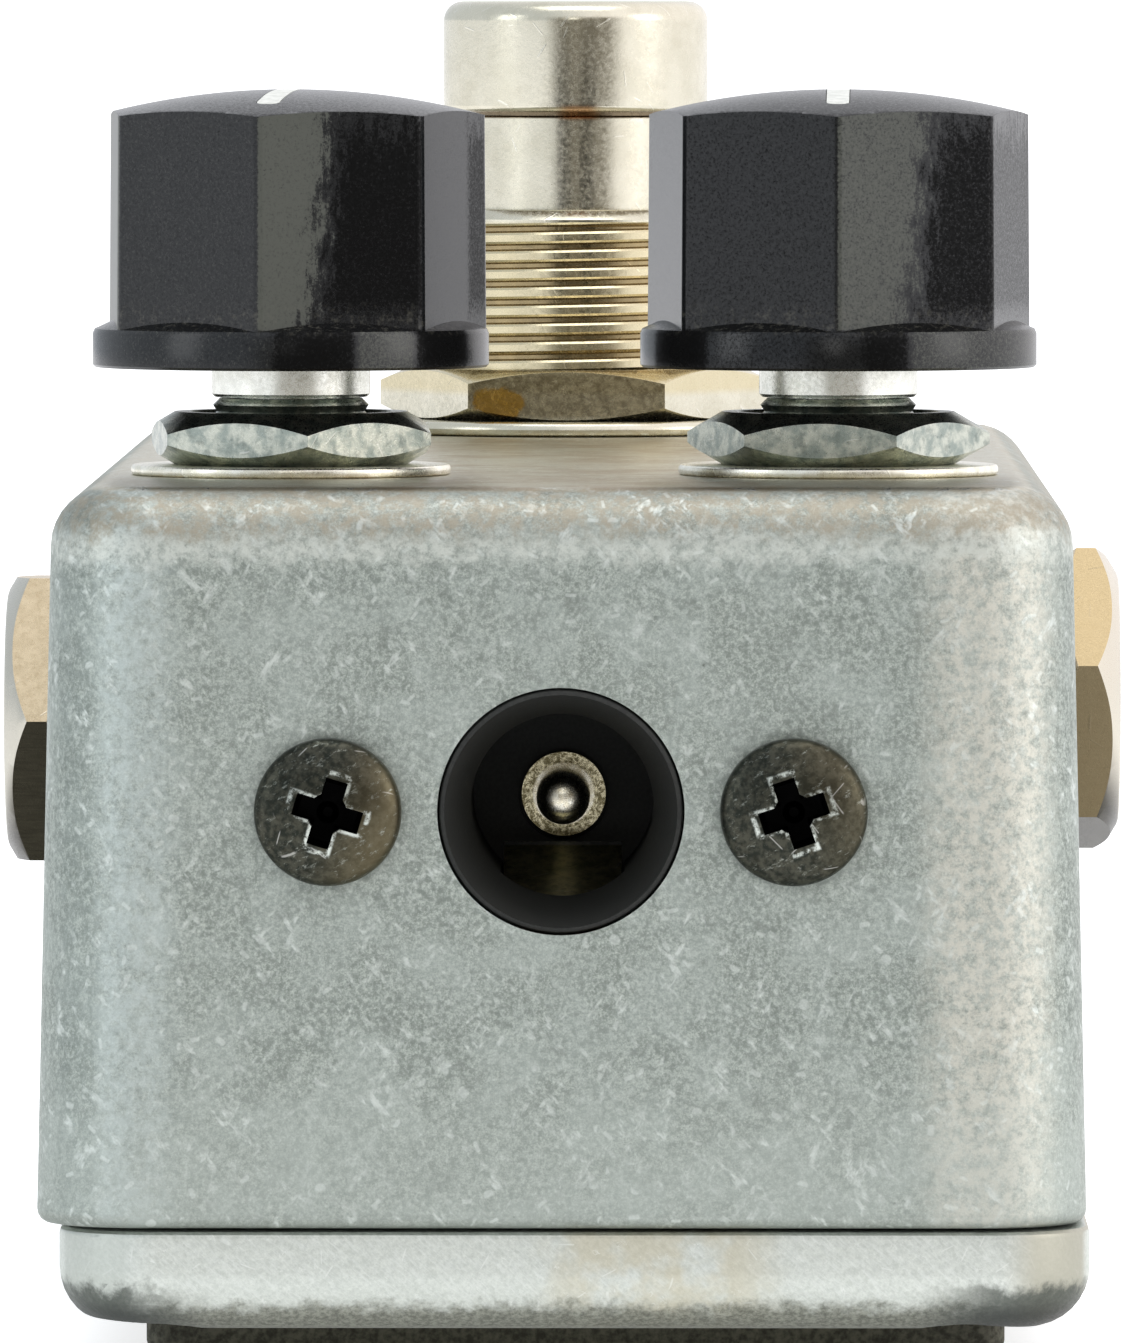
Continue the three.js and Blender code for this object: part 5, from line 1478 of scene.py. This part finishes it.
def jack_pieces(side):
    (_, washer_high), (nut_low, nut_high), (ferrule_low, ferrule_high) = (
        [corner.x - jack_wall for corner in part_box("right_jack_" + kind)]
        for kind in ("washer", "nut", "ferrule")
    )
    washer = ring("jack_washer", jack_washer, jack_outer + play, 0, washer_high, FINE_ROUND)
    reach = jack_nut_flats / 2 / math.cos(math.pi / 6)
    hexagon = prism("jack_nut", 6, reach, nut_low, nut_high + overrun, jack_nut_turns[side])
    bore = jack_outer + 0.05 * MM
    inner = 0.4 * MM
    profile = [
        (reach - 2 * inner, nut_low),
        (reach, nut_low + inner),
        (reach, nut_high - jack_corner_drop),
        (reach * 0.62 + jack_rim * 0.38, nut_high - 0.55 * jack_corner_drop),
        ((reach + jack_rim) / 2, nut_high - 0.42 * jack_corner_drop),
        (jack_rim + 0.2 * MM, nut_high - 0.07 * jack_corner_drop),
        (jack_rim, nut_high),
    ]
    combine(hexagon, turned("jack_nut_dome", profile, FINE_ROUND), "INTERSECT")
    cut(hexagon, rod("jack_nut_bore", bore, nut_low - overrun, nut_high + overrun))
    eased(hexagon, 0.04 * MM, 2, 26)
    edge = 0.35 * MM
    profile = [(jack_bore, ferrule_low), (jack_outer, ferrule_low)]
    for inset, rise in arc(edge, 5):
        profile.append((jack_outer - inset, ferrule_high - edge + rise))
    profile += [
        (jack_bore + 0.25 * MM, ferrule_high),
        (jack_bore, ferrule_high - 0.25 * MM),
        (jack_bore, ferrule_low),
    ]
    ferrule = turned("jack_ferrule", profile, FINE_ROUND, open_ends=True)
    return {"washer": eased(washer, 0.1 * MM, 2), "nut": hexagon, "ferrule": ferrule}


def side_jacks():
    for side, outwards in (("left", -1), ("right", 1)):
        place = jack_places[side]
        for kind, piece in jack_pieces(side).items():
            settle(piece, (outwards * jack_wall, place.y, place.z), (0, outwards * QUARTER, 0))
            fit(smooth(piece, 28), f"{side}_jack_{kind}")


side_jacks()


# Power socket, modelled with its mouth at height 0 and local Z outwards

socket_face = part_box("dc_jack_body")[0].y
socket_level = socket_place.z
socket_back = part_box("dc_jack_body")[1].y - socket_face
socket_flange_top = -2.17 * MM
socket_flange_bottom = -4.17 * MM
socket_collar = 4.5 * MM
socket_bore = 3.4 * MM
socket_mouth = 4.28 * MM
socket_funnel = 4.7 * MM
socket_depth = 13.4 * MM
pin_radius = 1 * MM
pin_tip = 8.9 * MM
pin_base = 1.58 * MM
leaf_start = 5.6 * MM
leaf_half_width = 2.2 * MM
leaf_thickness = 0.3 * MM
socket_screw_x = socket_screw_places["right"].x


def at_socket(piece, node, angle=30, x=0):
    return fit(smooth(settle(piece, (x, socket_face, socket_level), (QUARTER, 0, 0)), angle), node)


def socket_body():
    low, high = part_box("dc_jack_body")
    edge = 0.2 * MM
    piece = turned("power_socket", [
        (socket_collar, socket_flange_bottom),
        (socket_collar, -edge),
        (socket_collar - edge * 0.3, -edge * 0.3),
        (socket_collar - edge, 0),
    ], FINE_ROUND)
    half = (high.x - low.x) / 2
    flange = turned_block(
        "socket_flange", half, 3.3 * MM, socket_flange_bottom, socket_flange_top)
    round_edges(flange, standing_edge, 1.65 * MM, 6)
    box = turned_block("socket_box", 5.1 * MM, 5.1 * MM, -socket_back, socket_flange_top)
    round_edges(box, standing_edge, 0.6 * MM, 3)
    join(piece, flange, box)
    mouth = turned("socket_mouth", [
        (socket_bore, -socket_depth),
        (socket_bore, -socket_funnel),
        (socket_mouth, -edge / 2),
        (socket_mouth + edge, overrun),
    ], FINE_ROUND)
    leaf_slot = block(
        "leaf_slot",
        (-leaf_half_width - 0.1 * MM, -socket_bore - 0.4 * MM, -socket_depth),
        (leaf_half_width + 0.1 * MM, 0, -leaf_start + 0.1 * MM),
    )
    cut(piece, mouth, leaf_slot)
    middle_place = [(0, 0)]
    seat_bottom, seat_top = -socket_depth - 0.6 * MM, -socket_depth + overrun
    drill(piece, pin_base + play, seat_bottom, seat_top, middle_place, SMALL_ROUND)
    drill(piece, 0.85 * MM, -socket_back - overrun, -socket_depth, middle_place, SMALL_ROUND)
    flange_places = [(side * socket_screw_x, 0) for side in SIDES]
    hole_bottom, hole_top = socket_flange_bottom - overrun, socket_flange_top + overrun
    drill(piece, socket_screw_hole, hole_bottom, hole_top, flange_places, SMALL_ROUND)
    return at_socket(piece, "dc_jack_body", 26)


def socket_pin():
    floor = -socket_depth - 0.5 * MM
    wall_of_base = 0.3 * MM
    profile = [
        (0.7 * MM, -socket_back - 1.6 * MM),
        (0.7 * MM, floor),
        (pin_base, floor),
        (pin_base, -socket_depth),
        (pin_base - wall_of_base, -socket_depth),
        (pin_base - wall_of_base, floor + wall_of_base),
        (pin_radius, floor + wall_of_base),
    ]
    blunt = 0.3
    nose = 0.68 * MM
    profile += [(pin_radius, -pin_tip - 1.5 * MM), (pin_radius - 0.08 * MM, -pin_tip - 0.9 * MM)]
    profile.append((nose + 0.03 * MM, -pin_tip - nose * blunt - 0.04 * MM))
    for inset, rise in arc(nose, 8):
        profile.append((nose - inset * 0.995, -pin_tip - (nose - rise) * blunt))
    piece = at_socket(turned("socket_pin", profile, SMALL_ROUND), "dc_jack_pin", 40)
    piece.data.materials[0] = finishes["pin_metal"]
    return piece


def socket_leaf():
    """A strip that is drawn out along the bore's bottom, rises, and leaves through the back."""
    low = -socket_bore - leaf_thickness
    lift = 1.8 * MM
    back = leaf_start - socket_depth + pin_base
    stops = [(low + lift / 2, 0.45), (low + lift, 0.72), (low + 1 * MM, 0.9)]
    height, depth = low, -leaf_start - leaf_thickness
    piece = block(
        "socket_leaf",
        (-leaf_half_width, height, depth),
        (leaf_half_width, height + leaf_thickness, -leaf_start),
    )
    choose_faces(piece, lambda face: face.normal.z < -0.9)
    for next_height, share in stops:
        next_depth = -leaf_start + share * back
        step = (0, next_height - height, next_depth - depth)
        bpy.ops.mesh.extrude_region_move(TRANSFORM_OT_translate={"value": step})
        height, depth = next_height, next_depth
    step = (0, 0, -socket_back - 1.6 * MM - depth)
    bpy.ops.mesh.extrude_region_move(TRANSFORM_OT_translate={"value": step})
    shaped()
    eased(piece, 0.06 * MM, 2)
    piece = at_socket(piece, "dc_jack_leaf", 20)
    piece.data.materials[0] = finishes["leaf_metal"]
    return piece


def socket_screw():
    """A pan head whose rim is straight and whose top is domed, with a worn cross recess."""
    radius, rise, rim = 2.72 * MM, 1.5 * MM, 0.55 * MM
    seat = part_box("dc_screw_left")[0].y - socket_face
    top = -seat
    bottom = top - rise
    profile = [(1.4 * MM, bottom - 7 * MM), (1.4 * MM, bottom), (radius - 0.08 * MM, bottom)]
    profile.append((radius, bottom + 0.08 * MM))
    for step in range(11):
        turn = QUARTER * 0.94 * step / 10
        profile.append((radius * math.cos(turn), bottom + rim + (rise - rim) * math.sin(turn)))
    profile[-1] = (profile[-1][0], top)
    piece = turned("socket_screw", profile, FINE_ROUND)
    recess = cross("socket_screw_cross", cross_span, cross_width, top - 1.25 * MM, top)
    cut(piece, recess)
    return eased(piece, 0.05 * MM, 3, 40)


def power_socket():
    socket_body()
    socket_pin()
    socket_leaf()
    model = socket_screw()
    for side, place in socket_screw_places.items():
        screw = copied(model, side + "_socket_screw", turn=(0, 0, socket_screw_turns[side]))
        at_socket(screw, "dc_screw_" + side, 30, place.x)
    bpy.data.objects.remove(model)


power_socket()


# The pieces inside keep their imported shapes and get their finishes

for node, part in frame["nodes"].items():
    part.data.materials.clear()
    part.data.materials.append(finishes[slots[node]])


# Studio: white world, soft lamps at the left, right and top, and a pale floor

class Surroundings:
    """Nodes of the world and of the floor, which share a few helpers with the finishes."""

    add, feed, math, spread, mix = Finish.add, Finish.feed, Finish.math, Finish.spread, Finish.mix
    times, most, less = Finish.times, Finish.most, Finish.less

    def __init__(self, tree):
        self.tree = tree

    def gap(self, azimuth):
        """1 in the dim stretch round the camera."""
        left = self.spread(azimuth, math.radians(-27), math.radians(-11))
        right = self.spread(azimuth, math.radians(46), math.radians(29))
        return self.times(left, right)

    def seen(self):
        """1 for rays that come straight from the camera, a mirror or glass."""
        path = self.add("ShaderNodeLightPath").outputs
        mirrored = self.most(path["Is Glossy Ray"], path["Is Transmission Ray"])
        return path["Is Camera Ray"], mirrored


dim_light = (0.2, 0.182, 0.146, 1)
left_light = (0.71, 0.76, 0.82, 1)
right_light = (1.28, 1.25, 1.28, 1)
mirror_glow = 0.38
camera_glow = 0.7


def studio_world():
    """White walls at the left and the right, brighter and warmer at the right, and a dim gap round
    the camera."""
    world = bpy.data.worlds.new("studio")
    world.use_nodes = True
    nodes = Surroundings(world.node_tree)
    background = world.node_tree.nodes["Background"]
    direction = nodes.add("ShaderNodeTexCoord").outputs["Generated"]
    parts = nodes.add("ShaderNodeSeparateXYZ", {"Vector": direction}).outputs
    towards_camera = nodes.times(parts["Y"], -1)
    azimuth = nodes.math("ARCTAN2", parts["X"], towards_camera)
    gap = nodes.times(nodes.gap(azimuth), nodes.spread(parts["Z"], 0.46, 0.26))
    walls = nodes.mix(nodes.spread(parts["X"], -0.5, 0.5), left_light, right_light)
    light = nodes.mix(gap, walls, dim_light)
    straight, _ = nodes.seen()
    light = nodes.mix(straight, light, (1, 1, 1, 1))
    nodes.feed(background.inputs["Color"], light)
    background.inputs["Strength"].default_value = 1
    bpy.context.scene.world = world


def floor_paint():
    """Pale paint that looks white to the camera and to shiny metal, and still shows the shadow. To
    shiny metal the floor ends in front, where the dim gap begins."""
    material = bpy.data.materials.new("floor_paint")
    material.use_nodes = True
    nodes = Surroundings(material.node_tree)
    shader = material.node_tree.nodes["Principled BSDF"]
    shader.inputs["Roughness"].default_value = 1
    shader.inputs["Specular IOR Level"].default_value = 0
    shader.inputs["Emission Color"].default_value = (1, 1, 1, 1)
    straight, mirrored = nodes.seen()
    place = nodes.add("ShaderNodeTexCoord").outputs["Object"]
    parts = nodes.add("ShaderNodeSeparateXYZ", {"Vector": place}).outputs
    ahead = nodes.times(parts["Y"], -1)
    gap = nodes.gap(nodes.math("ARCTAN2", parts["X"], ahead))
    gap = nodes.times(gap, nodes.spread(ahead, 0.3, 0.45))
    gap = nodes.times(gap, mirrored)
    nodes.feed(shader.inputs["Base Color"], nodes.mix(gap, (0.82, 0.82, 0.82, 1), dim_light))
    glow = nodes.times(mirrored, nodes.less(mirror_glow, nodes.times(gap, mirror_glow)))
    glow = nodes.most(glow, nodes.times(straight, camera_glow))
    nodes.feed(shader.inputs["Emission Strength"], glow)
    return material


def floor():
    bpy.ops.object.select_all(action="DESELECT")
    bpy.ops.mesh.primitive_plane_add(size=60, location=(0, 0, 0))
    ground = begun("floor")
    ground.data.materials.append(floor_paint())
    settle(ground)


def lamp(name, place, width, height, energy, tint):
    bpy.ops.object.select_all(action="DESELECT")
    bpy.ops.object.light_add(type="AREA", location=place)
    light = bpy.context.active_object
    light.name = name
    light.data.shape = "RECTANGLE"
    light.data.size = width
    light.data.size_y = height
    light.data.energy = energy
    light.data.color = tint
    towards = Vector((0, 0, 30 * MM)) - Vector(place)
    light.rotation_euler = towards.to_track_quat("-Z", "Y").to_euler()


studio_world()
floor()
lamp("top_lamp", (0, -0.1, 0.9), 0.6, 0.4, 1.2, (1, 1, 1))
lamp("left_lamp", (-0.9, -0.45, 0.35), 0.35, 0.5, 0.8, (0.97, 0.99, 1))
lamp("right_lamp", (0.9, -0.35, 0.35), 0.35, 0.5, 1.0, (1, 0.98, 0.94))
lamp("front_lamp", (-0.03, -0.85, 0.26), 0.16, 0.16, 0.14, (1, 1, 0.98))
bpy.context.scene.view_settings.view_transform = "Standard"
